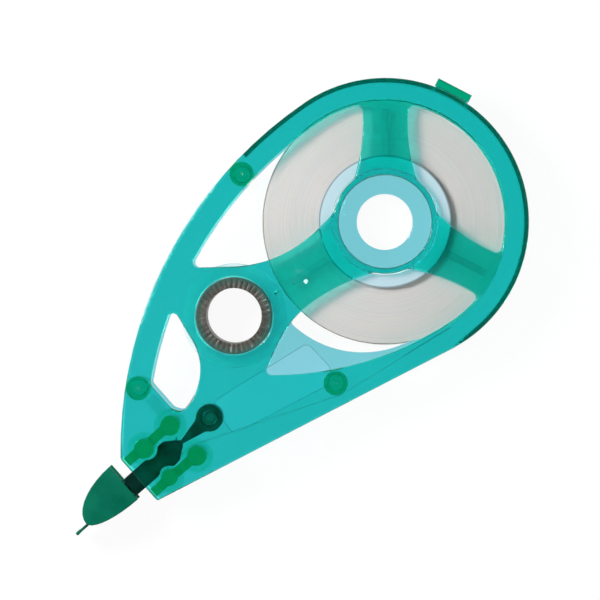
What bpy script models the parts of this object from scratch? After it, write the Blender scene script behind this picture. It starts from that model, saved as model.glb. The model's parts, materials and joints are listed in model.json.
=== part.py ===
"""Correction tape cassette: two clear frame halves, a supply roll, a take-up reel and a twisting nose.

The hub axis of the supply roll stands at X = 0, Y = 0 while the pieces are made, with the nose towards
-X and the rear face on Z = 0. The whole assembly is then moved so that its base is centred on the origin.
"""

import math

import bmesh
import bpy
from mathutils import Vector

MM = 0.001

# Clearances
RUN_GAP = 0.3 * MM            # between a turning piece and what carries it
FIT_GAP = 0.1 * MM            # between pieces that are pressed or seated together
TAPE_LAY = 0.08 * MM          # between the tape and a guide that it slides over
BITE = 0.25 * MM              # how far joined features reach into each other

# Frame outline
PLATE = 1.2 * MM              # plate of each half
ROLL_ROOM = 2.45 * MM         # between the full roll and the perimeter wall
ARM_START = 83.0              # degrees on the round end where the long upper side begins
EDGE_START = -104.0           # degrees on the round end where the straight lower side begins
NOSE_REACH = 26.8 * MM        # from the take-up axis to the flat front face
NOSE_HEIGHT = 8.3 * MM        # of the front face
NOSE_TOP_FILLET = 0.9 * MM
NOSE_LOW_FILLET = 0.4 * MM
RIM = 3.65 * MM               # width of the rim and of the upper arm
WALL = 0.6 * MM               # perimeter wall round the reel
WALL_INSET = 0.05 * MM        # wall set back from the plate edge
WALL_TIP = 0.15 * MM          # thickness left where the wall runs out
WALL_TAPER = 14.0             # degrees over which it thins to that tip
WALL_TOP_END = 93.9           # degrees on the arm's arc where the wall stops, beside the top pin
WALL_LOW_END = -102.0         # degrees on the round end where the wall begins

# Hub and spokes
HUB_BORE_R = 4.2 * MM
HUB_RING_R = 7.8 * MM
HUB_RING = 0.9 * MM           # width of the front half's ring round the hub
HUB_SLEEVE = 0.5 * MM         # wall of the sleeve that the core turns on
SPOKE_UP = 48.6               # degrees
SPOKE_DOWN = -68.6            # degrees
SPOKE_NOSE = 172.0            # degrees, the wide spoke towards the nose
SPOKE_HALF = 3.35 * MM        # at the spoke's waist
SPOKE_NOSE_HALF = 4.05 * MM
SPOKE_WAIST_BACK = 3.0 * MM   # from the rim to the waist
SPOKE_FLARE = 1.35 * MM       # how much wider than its waist each side is at the hub ring
SPOKE_HUB_FILLET = 1.0 * MM
WINDOW_FILLET = 0.8 * MM
SPOKE_RIB = 1.0 * MM          # width of the stiffening rib under each spoke
SPOKE_RIB_DEPTH = 0.6 * MM
GATE_MARK_R = 0.35 * MM       # moulding gate dimple on the wide spoke
GATE_MARK_AT = 19.3 * MM
EJECTOR_MARK_R = 1.35 * MM    # ejector pin mark on the wide spoke
EJECTOR_MARK_AT = 15.3 * MM
MARK_DEPTH = 0.2 * MM

# Body between the reels
BODY_UPPER_LAND = 7.35 * MM   # from the take-up axis to the upper window's edge
BODY_UPPER_HEADING = -39.6    # degrees
BODY_UPPER_BEND = 18.5 * MM
BODY_LOWER_LAND = 7.7 * MM    # from the take-up axis to the lower window's edge
BODY_LOWER_HEADING = 204.0    # degrees
BODY_LOWER_BEND = 16.0 * MM
LOWER_RIM_R = 48.0 * MM       # inner edge of the lower rim
LOWER_RIM_START = -97.5       # degrees on the inner rim where that edge begins
CRESCENT_STEP = 2.35 * MM     # how much smaller than the rim the rear plate's round edge beside the roll is
CRESCENT_SHIFT = 5.4 * MM     # from the hub axis to that edge's centre
CRESCENT_ANGLE = 190.7        # degrees
NOSE_WINDOW_BACK = 10.8 * MM  # from the front face to the small window
NOSE_WINDOW_DROP = 3.25 * MM  # from the stem axis up to that window's lower edge
NOSE_WINDOW_HEADING = 9.0     # degrees
NOSE_WINDOW_LAND = 7.2 * MM   # from the take-up axis to that window
NOSE_WINDOW_TILT = 79.6       # degrees
NOSE_WINDOW_BEND = 8.5 * MM
NOSE_WINDOW_CHAMFER = 1.45 * MM
NOSE_WINDOW_CHAMFER_HEADING = -57.0   # degrees
RECESS_DEPTH = 0.45 * MM      # shallow panel in the rear face
RECESS_BACK = 15.4 * MM       # from the front face to the panel
RECESS_END = 0.45 * MM        # from the lower pin's axis to the panel's other end
RECESS_DROP = 1.5 * MM        # from the stem axis up to the panel's upper corner
RECESS_FALL = -9.5            # degrees, its upper edge
RECESS_MARGIN = 3.4 * MM      # from the straight lower side
RECESS_PIN_HEADING = 46.0     # degrees, the edge that passes the lower pin
RECESS_BACK_HEADING = 92.0    # degrees
RECESS_FRONT_HEADING = -98.0  # degrees
RECESS_FILLET = 1.1 * MM

# Snap latch on the rim
LATCH_ANGLE = 21.2            # degrees
LATCH_LENGTH = 5.6 * MM
LATCH_STAND = 1.2 * MM        # how far it stands out of the round end
LATCH_ARM = 1.0 * MM
LATCH_HOOK = 0.7 * MM
LATCH_HOOK_HEIGHT = 1.7 * MM
LATCH_FOOT = 2.5 * MM         # from the rear face to the hook's lower side

# Supply roll
TAPE_WIDTH = 4.2 * MM
TAPE = 0.1 * MM
TAPE_SIDE = 0.4 * MM          # between the tape's edge and a flange
ROLL_R = 18.3 * MM            # full roll, with its outer turn
OUTER_TURN_PITCH = 0.45 * MM
OUTER_TURN_SWEEP = 344.0      # degrees
CORE_WALL = 1.8 * MM

# Take-up reel
TAKE_UP_ANGLE = 170.6         # degrees, seen from the hub
REEL_GAP = 0.45 * MM          # between the roll and the take-up flanges
TAKE_UP_BORE_R = 4.15 * MM
TAKE_UP_CORE_R = 5.5 * MM
TAKE_UP_CORE_INSET = 0.2 * MM
FLANGE_R = 7.8 * MM
FLANGE = 0.5 * MM
WINDING_PITCH = 0.55 * MM
WINDING_TURNS = 2

# Pins and posts
PIN_R = 1.8 * MM
PIN_SPIGOT_R = 0.9 * MM
SPIGOT = 0.7 * MM             # how far the pins and posts reach into each plate
PIN_MARK_R = 0.3 * MM         # moulding dimple in the front half over each pin
PIN_INSET = 1.9 * MM          # from the arm's outer edge to a pin's axis
TOP_PIN_ANGLE = 95.97         # degrees on the arm's arc
NOSE_PIN_BACK = 8.9 * MM      # from the front face
LOWER_PIN_ALONG = 17.6 * MM   # along the straight lower side, from the round end
LOWER_PIN_INSET = 3.35 * MM
POST_R = 1.5 * MM
POST_SMALL_R = 1.25 * MM      # the lower post next to the front face
POST_SPIGOT_R = 0.7 * MM
POST_COLLAR = 0.95 * MM       # how far the collar at a post's front end stands out
POST_COLLAR_HEIGHT = 0.3 * MM
POST_OUTER_BACK = 3.6 * MM    # from the front face to the outer posts
POST_CHANNEL = 1.5 * MM       # from the stem axis to the near side of each post
GUIDE_WEB = 1.2 * MM          # walls that run on from the posts, beside the stem
GUIDE_WEB_FRONT = 0.3 * MM    # from the front face to those walls
NOSE_RIB = 1.6 * MM           # width of the low rib between the nose pin and the posts
NOSE_RIB_HEIGHT = 0.7 * MM    # above the rear plate

# Stem, neck and nose
STEM_HALF = 1.55 * MM         # bar in front of the frame
BLOCK_HALF = 1.9 * MM         # widest part, between the posts
BLOCK_BACK = 6.1 * MM         # from the front face to the block's widest part
STEM_POINT_BACK = 8.25 * MM   # from the front face to the block's point
STEM_REACH = 2.0 * MM         # of the bar in front of the front face
STEM_POINT_HALF = 0.3 * MM
STEM_WEB_HALF = 0.4 * MM
STEM_FLANGE = 0.3 * MM
STEM_ROOM = 0.25 * MM         # between the tape's edge and the stem's flanges
SCALLOP_GAP = 0.5 * MM        # from a post to the stem, for the twist
TONGUE_LENGTH = 2.2 * MM
TONGUE_HALF_HEIGHT = 1.9 * MM
EYELET_R = 2.05 * MM
EYELET_BACK = 13.9 * MM       # from the front face to the eyelet's axis
ANCHOR_PIN_R = 1.05 * MM
ANCHOR_HALF_HEIGHT = 2.7 * MM
TAIL_HALF = 1.15 * MM         # tapered tail where it meets the eyelet
NECK_GAP = 0.3 * MM
CHEEK = 0.85 * MM
CHEEK_LENGTH = 8.25 * MM
CHEEK_TOP = 4.4 * MM          # above the stem axis, at the back
CHEEK_LOW = 2.1 * MM          # below the stem axis, at the back
CHEEK_TIP_RISE = 0.3 * MM     # of the rounded tip above the stem axis
WEDGE_HALF = 1.1 * MM
BLADE_HALF = 0.2 * MM
BLADE_LENGTH = 2.5 * MM
BLADE_LIP_R = 0.27 * MM
LOOP_BACK = 1.8 * MM          # from the front face to where the tip loop of tape begins

# Smoothness of round edges
CHORD = 1.3 * MM
TURN_STEP = 20.0              # degrees, the coarsest
FINE_STEP = 3.0               # degrees, the finest
SPIRAL_STEP = 6.0             # degrees
RING_STEPS_LEAST = 16
RING_STEPS_MOST = 80
TURNED_STEPS = 24
FILLET_EASE = 0.9             # share that a fillet keeps, step by step, where its edges are too short for it
WELD = 0.002 * MM             # points closer than this are one point
SHARP_ANGLE = 35.0            # degrees between faces that meet in a sharp edge

# Worked out from the sizes above
THICKNESS = TAPE_WIDTH + 2 * (TAPE_SIDE + FLANGE + RUN_GAP + PLATE)
MID = THICKNESS / 2
INNER_LOW = PLATE
INNER_HIGH = THICKNESS - PLATE
END_R = ROLL_R + ROLL_ROOM + WALL + WALL_INSET
RIM_IN_R = END_R - RIM
HUB_RING_IN_R = HUB_RING_R - HUB_RING
SLEEVE_R = HUB_RING_R - FIT_GAP
LATCH_OUT_R = END_R + LATCH_STAND
STEM_CHANNEL = TAPE_WIDTH / 2 + STEM_ROOM
ROLL_CORE_BORE_R = HUB_RING_R + RUN_GAP
ROLL_CORE_R = ROLL_CORE_BORE_R + CORE_WALL
BEARING_R = TAKE_UP_CORE_R + RUN_GAP
COLLAR_LOW = INNER_HIGH - FIT_GAP - POST_COLLAR_HEIGHT
POST_INNER_BACK = POST_OUTER_BACK + 2 * (POST_R + POST_COLLAR) + RUN_GAP
TEAL = (0.01, 0.45, 0.47)
PIN_GREEN = (0.0, 0.30, 0.18)
NOSE_GREEN = (0.0, 0.13, 0.08)
STEM_BLACK = (0.004, 0.03, 0.022)
CORE_BLUE = (0.44, 0.80, 0.86)
TAPE_WHITE = (0.66, 0.65, 0.63)
FILM_GREY = (0.55, 0.60, 0.58)
REEL_BROWN = (0.10, 0.11, 0.09)
FLANGE_PALE = (0.35, 0.66, 0.70)


# Flat outlines, made of straight and round edges with rounded corners


def polar(radius, degrees):
    angle = math.radians(degrees)
    return Vector((math.cos(angle), math.sin(angle))) * radius


def left_of(vector):
    return Vector((-vector.y, vector.x))


def line(point, degrees):
    """A straight edge through a point, heading along an angle."""
    return {"point": point, "heading": polar(1.0, degrees)}


def land_line(center, distance, degrees):
    """A straight edge that passes a centre at a distance, with the centre on its right."""
    return line(center + left_of(polar(distance, degrees)), degrees)


def round_edge(center, radius, turn=1):
    """A round edge, run counter-clockwise where turn is 1 and clockwise where it is -1."""
    return {"center": center, "radius": radius, "turn": turn}


def shifted(edge, distance):
    """The same edge moved to its left."""
    if "point" in edge:
        return {"point": edge["point"] + left_of(edge["heading"]) * distance, "heading": edge["heading"]}
    return round_edge(edge["center"], edge["radius"] - edge["turn"] * distance, edge["turn"])


def crossings(a, b):
    """The points where two edges meet, taken as endless lines and whole circles."""
    if "point" not in a and "point" in b:
        a, b = b, a
    if "point" in b:
        spread = a["heading"].cross(b["heading"])
        along = (b["point"] - a["point"]).cross(b["heading"]) / spread
        return [a["point"] + a["heading"] * along]
    if "point" in a:
        foot_along = (b["center"] - a["point"]).dot(a["heading"])
        foot = a["point"] + a["heading"] * foot_along
        half = math.sqrt(b["radius"] ** 2 - (b["center"] - foot).length_squared)
        return [foot - a["heading"] * half, foot + a["heading"] * half]
    apart = b["center"] - a["center"]
    along = (apart.length_squared + a["radius"] ** 2 - b["radius"] ** 2) / (2 * apart.length)
    across = math.sqrt(a["radius"] ** 2 - along ** 2)
    unit = apart.normalized()
    middle = a["center"] + unit * along
    return [middle + left_of(unit) * across, middle - left_of(unit) * across]


def sweep(center, start, end, turn):
    """The angle from one point to another about a centre, in the direction of turn."""
    a = start - center
    b = end - center
    angle = math.atan2(a.cross(b), a.dot(b)) * turn
    return angle % (2 * math.pi)


def travel(edge, start, end):
    if "point" in edge:
        return (end - start).dot(edge["heading"])
    return sweep(edge["center"], start, end, edge["turn"]) * edge["radius"]


def heading_at(edge, point):
    if "point" in edge:
        return edge["heading"]
    return left_of(point - edge["center"]).normalized() * edge["turn"]


def nearest_on(edge, point):
    if "point" in edge:
        return edge["point"] + edge["heading"] * (point - edge["point"]).dot(edge["heading"])
    return edge["center"] + (point - edge["center"]).normalized() * edge["radius"]


def arc_points(center, start, end, turn):
    """Points from start up to, and without, the end."""
    angle = sweep(center, start, end, turn)
    radius = (start - center).length
    steps = max(1, math.ceil(angle * radius / CHORD), math.ceil(math.degrees(angle) / TURN_STEP))
    steps = min(steps, math.ceil(math.degrees(angle) / FINE_STEP))
    spoke = start - center
    points = []
    for step in range(steps):
        part = angle * step / steps * turn
        turned_x = spoke.x * math.cos(part) - spoke.y * math.sin(part)
        turned_y = spoke.x * math.sin(part) + spoke.y * math.cos(part)
        points.append(center + Vector((turned_x, turned_y)))
    return points


def outline_corners(start, edges):
    """The sharp corners of an outline, where each edge meets the next one."""
    corners = []
    here = start
    for index, (edge, ending) in enumerate(edges):
        following = edges[(index + 1) % len(edges)][0]
        if isinstance(ending, Vector):
            here = ending
        else:
            ahead = [point for point in crossings(edge, following) if travel(edge, here, point) > 0]
            previous = here
            here = min(ahead, key=lambda point: travel(edge, previous, point))
        corners.append(here)
    return corners


def rounded_corner(edge, following, corner, radius):
    """Where a fillet leaves one edge and meets the next, its centre and the way it turns."""
    if radius == 0:
        return corner, corner, None, 1
    side = 1 if heading_at(edge, corner).cross(heading_at(following, corner)) > 0 else -1
    options = crossings(shifted(edge, side * radius), shifted(following, side * radius))
    center = min(options, key=lambda point: (point - corner).length)
    return nearest_on(edge, center), nearest_on(following, center), center, side


def crowded(edge, corners, begin, end):
    """True if the fillets at an edge's two ends take more than its length."""
    if "point" in edge:
        return travel(edge, begin, end) < 0
    return travel(edge, begin, end) > travel(edge, *corners) + WELD


def rounded_corners(edges, corners):
    """The rounded corners of an outline, with each fillet limited by the edges beside it."""
    radii = [0 if isinstance(ending, Vector) else ending for edge, ending in edges]
    while True:
        bends = []
        for index, (edge, ending) in enumerate(edges):
            following = edges[(index + 1) % len(edges)][0]
            bends.append(rounded_corner(edge, following, corners[index], radii[index]))
        tight = False
        for index, (edge, ending) in enumerate(edges):
            ends = (corners[index - 1], corners[index])
            if crowded(edge, ends, bends[index - 1][1], bends[index][0]):
                radii[index - 1] *= FILLET_EASE
                radii[index] *= FILLET_EASE
                tight = True
        if not tight:
            return bends


def outline(start, edges):
    """A closed outline, run with its inside on the left.

    Each entry is an edge and what ends it: a fillet radius, or the point where it runs smoothly on.
    """
    bends = rounded_corners(edges, outline_corners(start, edges))
    points = []
    for index, (edge, ending) in enumerate(edges):
        begin = bends[index - 1][1]
        end, onward, center, side = bends[index]
        if "point" in edge:
            points.append(begin)
        else:
            points.extend(arc_points(edge["center"], begin, end, edge["turn"]))
        if center is not None:
            points.extend(arc_points(center, end, onward, side))
    return points


def ring_points(center, radius):
    """A full circle."""
    steps = math.ceil(2 * math.pi * radius / CHORD)
    steps = max(RING_STEPS_LEAST, min(RING_STEPS_MOST, steps))
    return [center + polar(radius, 360.0 * step / steps) for step in range(steps)]


def quarter_ellipse(center, reach, rise, start_degrees):
    """Points of a quarter of an ellipse, without its last point."""
    steps = math.ceil(90.0 / TURN_STEP * 2)
    points = []
    for step in range(steps):
        unit = polar(1.0, start_degrees + 90.0 * step / steps)
        points.append(center + Vector((unit.x * reach, unit.y * rise)))
    return points


def strip(points, width):
    """The closed outline of a ribbon that follows a line of points."""
    left_side = []
    right_side = []
    for index, point in enumerate(points):
        before = points[max(index - 1, 0)]
        after = points[min(index + 1, len(points) - 1)]
        side = left_of((after - before).normalized()) * (width / 2)
        left_side.append(point + side)
        right_side.append(point - side)
    return right_side + left_side[::-1]


def taut_legs(stops):
    """The straight stretches of a ribbon pulled from each guide to the next."""
    legs = []
    for (center_a, radius_a, side_a), (center_b, radius_b, side_b) in zip(stops, stops[1:]):
        apart = center_b - center_a
        lean = math.asin((side_b * radius_b - side_a * radius_a) / apart.length)
        angle = math.degrees(math.atan2(apart.y, apart.x) - lean)
        across = left_of(polar(1.0, angle))
        legs.append((center_a - across * side_a * radius_a, center_b - across * side_b * radius_b))
    return legs


def taut_route(stops):
    """The middle line of a ribbon pulled round guides.

    Each stop is a centre, a radius and a side: 1 with the guide on the ribbon's left, -1 on its right.
    A guide that the ribbon would have to leave the straight way to touch is passed by.
    """
    legs = taut_legs(stops)
    for index in range(1, len(stops) - 1):
        arriving = legs[index - 1][1] - legs[index - 1][0]
        leaving = legs[index][1] - legs[index][0]
        if arriving.cross(leaving) * stops[index][2] < 0:
            return taut_route(stops[:index] + stops[index + 1:])
    points = [legs[0][0]]
    for index in range(1, len(stops) - 1):
        center, radius, side = stops[index]
        points.extend(arc_points(center, legs[index - 1][1], legs[index][0], side))
        points.append(legs[index][0])
    points.append(legs[-1][1])
    return points


def spiral(start_radius, pitch, start_degrees, sweep_degrees):
    """The middle line of a wound ribbon that grows outwards."""
    steps = math.ceil(sweep_degrees / SPIRAL_STEP)
    points = []
    for step in range(steps + 1):
        turned_degrees = sweep_degrees * step / steps
        points.append(polar(start_radius + pitch * turned_degrees / 360.0, start_degrees + turned_degrees))
    return points


def least_gap(points, width):
    """The least clear distance between a ribbon's turns, measured on its points."""
    turn_steps = round(360.0 / SPIRAL_STEP)
    gaps = [(points[0] - points[-1]).length - width]
    for index, point in enumerate(points):
        for other in points[index + turn_steps // 2:]:
            gaps.append((other - point).length - width)
    return min(gaps)


# Scene, collections and materials


def clear_scene():
    for existing in list(bpy.data.objects):
        bpy.data.objects.remove(existing, do_unlink=True)


def new_collection(name):
    collection = bpy.data.collections.new(name)
    bpy.context.scene.collection.children.link(collection)
    return collection


def make_material(name, color, roughness, transmission=0.0):
    material = bpy.data.materials.new(name)
    material.use_nodes = True
    shader = material.node_tree.nodes["Principled BSDF"]
    shader.inputs["Base Color"].default_value = (*color, 1.0)
    shader.inputs["Roughness"].default_value = roughness
    shader.inputs["Metallic"].default_value = 0.0
    shader.inputs["Transmission Weight"].default_value = transmission
    material.diffuse_color = (*color, 1.0)
    return material


def make_empty(name, location, parent=None):
    empty = bpy.data.objects.new(name, None)
    empty.location = location
    empty.parent = parent
    PARTS.objects.link(empty)
    return empty


clear_scene()
PARTS = new_collection("correction_tape_cassette")
TOOLS = new_collection("cassette_cutters")

TEAL_PLASTIC = make_material("clear_teal_plastic", TEAL, 0.15, 0.6)
PIN_PLASTIC = make_material("clear_green_pin_plastic", PIN_GREEN, 0.2, 0.3)
NOSE_PLASTIC = make_material("dark_green_nose_plastic", NOSE_GREEN, 0.35)
STEM_PLASTIC = make_material("black_green_stem_plastic", STEM_BLACK, 0.35)
CORE_PLASTIC = make_material("pale_blue_core_plastic", CORE_BLUE, 0.3, 0.2)
TAPE_COAT = make_material("white_correction_tape", TAPE_WHITE, 0.7)
CARRIER_FILM = make_material("grey_carrier_film", FILM_GREY, 0.4)
REEL_PLASTIC = make_material("brown_grey_reel_plastic", REEL_BROWN, 0.4)
FLANGE_PLASTIC = make_material("pale_flange_plastic", FLANGE_PALE, 0.25, 0.4)


# Solids


def mesh_from_curve(curve_object):
    """A welded mesh object in place of a curve object."""
    bpy.context.view_layer.update()
    evaluated = curve_object.evaluated_get(bpy.context.evaluated_depsgraph_get())
    mesh = bpy.data.meshes.new_from_object(evaluated)
    work = bmesh.new()
    work.from_mesh(mesh)
    bmesh.ops.remove_doubles(work, verts=work.verts, dist=WELD)
    bmesh.ops.recalc_face_normals(work, faces=work.faces)
    work.to_mesh(mesh)
    work.free()
    name = curve_object.name
    matrix = curve_object.matrix_world.copy()
    curve = curve_object.data
    bpy.data.objects.remove(curve_object, do_unlink=True)
    bpy.data.curves.remove(curve)
    solid = bpy.data.objects.new(name, mesh)
    solid.matrix_world = matrix
    return solid


def prism(name, outlines, low, high):
    """A flat outline with holes, between two heights."""
    curve = bpy.data.curves.new(name, "CURVE")
    curve.dimensions = "2D"
    curve.fill_mode = "BOTH"
    curve.extrude = (high - low) / 2
    for points in outlines:
        spline = curve.splines.new("POLY")
        spline.points.add(len(points) - 1)
        for place, point in zip(spline.points, points):
            place.co = (point.x, point.y, 0.0, 1.0)
        spline.use_cyclic_u = True
    curve_object = bpy.data.objects.new(name, curve)
    curve_object.location = (0.0, 0.0, (low + high) / 2)
    bpy.context.scene.collection.objects.link(curve_object)
    return mesh_from_curve(curve_object)


def tube(name, center, outer, inner, low, high):
    return prism(name, [ring_points(center, outer), ring_points(center, inner)], low, high)


def disc(name, center, radius, low, high):
    return prism(name, [ring_points(center, radius)], low, high)


def bar(name, start, degrees, length, half_width, low, high):
    """A straight bar that runs from a point along an angle."""
    mesh = bpy.data.meshes.new(name)
    work = bmesh.new()
    bmesh.ops.create_cube(work, size=1.0)
    bmesh.ops.scale(work, vec=(length, half_width * 2, high - low), verts=work.verts)
    bmesh.ops.translate(work, vec=(length / 2, 0.0, (low + high) / 2), verts=work.verts)
    work.to_mesh(mesh)
    work.free()
    solid = bpy.data.objects.new(name, mesh)
    solid.location = (start.x, start.y, 0.0)
    solid.rotation_euler = (0.0, 0.0, math.radians(degrees))
    return solid


def turned(name, profile):
    """A turned piece about Z. The profile runs down its outer side, from the axis to the axis."""
    mesh = bpy.data.meshes.new(name)
    work = bmesh.new()
    places = [work.verts.new((radius, 0.0, height)) for radius, height in profile]
    for first, second in zip(places, places[1:]):
        work.edges.new((first, second))
    work.to_mesh(mesh)
    work.free()
    solid = bpy.data.objects.new(name, mesh)
    screw = solid.modifiers.new("turn", "SCREW")
    screw.axis = "Z"
    screw.steps = TURNED_STEPS
    screw.render_steps = TURNED_STEPS
    screw.use_merge_vertices = True
    screw.merge_threshold = WELD
    return solid


def place_part(solid, material, holder):
    """Hang a finished piece on the empty that carries it."""
    PARTS.objects.link(solid)
    solid.parent = holder
    solid.data.materials.clear()
    solid.data.materials.append(material)
    if not solid.modifiers:
        solid.data.shade_smooth()
        solid.data.set_sharp_from_angle(angle=math.radians(SHARP_ANGLE))


def shape_with(solid, tool, operation):
    """Add a feature to a placed piece, or cut one out of it."""
    TOOLS.objects.link(tool)
    tool.parent = solid.parent
    tool.hide_render = True
    tool.display_type = "WIRE"
    boolean = solid.modifiers.new(tool.name, "BOOLEAN")
    boolean.operation = operation
    boolean.solver = "EXACT"
    boolean.object = tool


def add(solid, tool):
    shape_with(solid, tool, "UNION")


def cut(solid, tool):
    shape_with(solid, tool, "DIFFERENCE")


# Places that several pieces share

HUB = Vector((0.0, 0.0))
TAKE_UP = polar(ROLL_R + REEL_GAP + FLANGE_R, TAKE_UP_ANGLE)
NOSE_X = TAKE_UP.x - NOSE_REACH
EDGE_POINT = polar(END_R, EDGE_START)
EDGE_ALONG = polar(1.0, EDGE_START - 90.0)
EDGE_INWARD = polar(-1.0, EDGE_START)
NOSE_LOW_Y = EDGE_POINT.y + EDGE_ALONG.y * (NOSE_X - EDGE_POINT.x) / EDGE_ALONG.x
STEM_Y = NOSE_LOW_Y + NOSE_HEIGHT / 2
STEM_AXIS = Vector((0.0, STEM_Y))

# The long upper side is the arc that leaves the round end smoothly and meets the top of the front face
ARM_OUTWARD = polar(1.0, ARM_START)
ARM_POINT = ARM_OUTWARD * END_R
NOSE_TOP = Vector((NOSE_X, NOSE_LOW_Y + NOSE_HEIGHT))
ARM_R = (NOSE_TOP - ARM_POINT).length_squared / (2 * (END_R - NOSE_TOP.dot(ARM_OUTWARD)))
ARM_CENTER = ARM_POINT - ARM_OUTWARD * ARM_R
LOWER_RIM_CENTER = polar(RIM_IN_R - LOWER_RIM_R, LOWER_RIM_START)
CRESCENT_CENTER = polar(CRESCENT_SHIFT, CRESCENT_ANGLE)

PIN_ARC_R = ARM_R - PIN_INSET
NOSE_PIN_X = NOSE_X + NOSE_PIN_BACK
NOSE_PIN_RISE = math.sqrt(PIN_ARC_R ** 2 - (NOSE_PIN_X - ARM_CENTER.x) ** 2)
TOP_PIN = ARM_CENTER + polar(PIN_ARC_R, TOP_PIN_ANGLE)
NOSE_PIN = Vector((NOSE_PIN_X, ARM_CENTER.y + NOSE_PIN_RISE))
LOWER_PIN = EDGE_POINT + EDGE_ALONG * LOWER_PIN_ALONG + EDGE_INWARD * LOWER_PIN_INSET
ANCHOR = Vector((NOSE_X + EYELET_BACK, STEM_Y))


def post_place(back, radius, side):
    return Vector((NOSE_X + back, STEM_Y + side * (POST_CHANNEL + radius)))


POSTS = {
    "guide_post_return_inner": (post_place(POST_INNER_BACK, POST_R, 1), POST_R),
    "guide_post_return_outer": (post_place(POST_OUTER_BACK, POST_R, 1), POST_R),
    "guide_post_feed_inner": (post_place(POST_INNER_BACK, POST_R, -1), POST_R),
    "guide_post_feed_outer": (post_place(POST_OUTER_BACK, POST_SMALL_R, -1), POST_SMALL_R),
}
PINS = {
    "joining_pin_top": TOP_PIN,
    "joining_pin_nose": NOSE_PIN,
    "joining_pin_lower": LOWER_PIN,
}

ROOT = make_empty("cassette", (0.0, 0.0, 0.0))
HUB_AXIS = make_empty("supply_axis", (0.0, 0.0, 0.0), ROOT)
TAKE_UP_AXIS = make_empty("take_up_axis", (TAKE_UP.x, TAKE_UP.y, 0.0), ROOT)
TWIST_AXIS = make_empty("twist_axis", (0.0, STEM_Y, MID), ROOT)


# Frame halves


def spoke_side(degrees, half, side):
    """One side of a spoke: an arc that bends outwards from the waist to where it meets the hub ring."""
    waist = RIM_IN_R - SPOKE_WAIST_BACK
    root = math.sqrt(HUB_RING_R ** 2 - (half + SPOKE_FLARE) ** 2)
    bend = ((waist - root) ** 2 + SPOKE_FLARE ** 2) / (2 * SPOKE_FLARE)
    return round_edge(polar(waist, degrees) + left_of(polar(half + bend, degrees)) * side, bend)


def rim_circle():
    return round_edge(HUB, RIM_IN_R)


def arm_circle():
    return round_edge(ARM_CENTER, ARM_R - RIM)


def hub_circle():
    return round_edge(HUB, HUB_RING_R, -1)


def frame_outline():
    return outline(polar(END_R, 0.0), [
        (round_edge(HUB, END_R), polar(END_R, ARM_START)),
        (round_edge(ARM_CENTER, ARM_R), NOSE_TOP_FILLET),
        (line(Vector((NOSE_X, 0.0)), -90.0), NOSE_LOW_FILLET),
        (line(EDGE_POINT, EDGE_START + 90.0), EDGE_POINT),
    ])


def upper_window():
    return outline(polar(RIM_IN_R, (SPOKE_UP + ARM_START) / 2), [
        (rim_circle(), polar(RIM_IN_R, ARM_START)),
        (arm_circle(), WINDOW_FILLET),
        (land_line(TAKE_UP, BODY_UPPER_LAND, BODY_UPPER_HEADING), BODY_UPPER_BEND),
        (spoke_side(SPOKE_NOSE, SPOKE_NOSE_HALF, -1), SPOKE_HUB_FILLET),
        (hub_circle(), SPOKE_HUB_FILLET),
        (spoke_side(SPOKE_UP, SPOKE_HALF, 1), WINDOW_FILLET),
    ])


def right_window():
    return outline(polar(RIM_IN_R, (SPOKE_UP + SPOKE_DOWN) / 2), [
        (rim_circle(), WINDOW_FILLET),
        (spoke_side(SPOKE_UP, SPOKE_HALF, -1), SPOKE_HUB_FILLET),
        (hub_circle(), SPOKE_HUB_FILLET),
        (spoke_side(SPOKE_DOWN, SPOKE_HALF, 1), WINDOW_FILLET),
    ])


def lower_window_inner_edges():
    """The edges of the lower window that both halves share, from the rim in to the hub and out again."""
    return [
        (rim_circle(), WINDOW_FILLET),
        (spoke_side(SPOKE_DOWN, SPOKE_HALF, -1), SPOKE_HUB_FILLET),
        (hub_circle(), SPOKE_HUB_FILLET),
    ]


def lower_window_front():
    meeting = polar(RIM_IN_R, LOWER_RIM_START)
    return outline(meeting, lower_window_inner_edges() + [
        (spoke_side(SPOKE_NOSE, SPOKE_NOSE_HALF, 1), BODY_LOWER_BEND),
        (land_line(TAKE_UP, BODY_LOWER_LAND, BODY_LOWER_HEADING), WINDOW_FILLET),
        (round_edge(LOWER_RIM_CENTER, LOWER_RIM_R), meeting),
    ])


def lower_window_rear():
    """The rear plate fills the corner of this window, up to a crescent beside the roll."""
    return outline(polar(RIM_IN_R, (SPOKE_DOWN + LOWER_RIM_START) / 2), lower_window_inner_edges() + [
        (spoke_side(SPOKE_NOSE, SPOKE_NOSE_HALF, 1), WINDOW_FILLET),
        (round_edge(CRESCENT_CENTER, RIM_IN_R - CRESCENT_STEP), 0),
    ])


def nose_window():
    corner = Vector((NOSE_X + NOSE_WINDOW_BACK, STEM_Y + NOSE_WINDOW_DROP))
    shoulder = corner + Vector((0.0, NOSE_WINDOW_CHAMFER))
    return outline(nearest_on(arm_circle(), TOP_PIN.lerp(NOSE_PIN, 0.5)), [
        (arm_circle(), WINDOW_FILLET),
        (line(corner, -90.0), WINDOW_FILLET),
        (line(shoulder, NOSE_WINDOW_CHAMFER_HEADING), WINDOW_FILLET),
        (line(corner, NOSE_WINDOW_HEADING), NOSE_WINDOW_BEND),
        (land_line(TAKE_UP, NOSE_WINDOW_LAND, NOSE_WINDOW_TILT), WINDOW_FILLET),
    ])


def cut_sockets(plate, low, high):
    """Blind sockets in a plate, for the ends of the pins and posts."""
    for name, place in PINS.items():
        cut(plate, disc("socket_" + name, place, PIN_SPIGOT_R + FIT_GAP, low, high))
    for name, (place, radius) in POSTS.items():
        cut(plate, disc("socket_" + name, place, POST_SPIGOT_R + FIT_GAP, low, high))
    cut(plate, disc("socket_anchor_pin", ANCHOR, ANCHOR_PIN_R + FIT_GAP, low, high))


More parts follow.
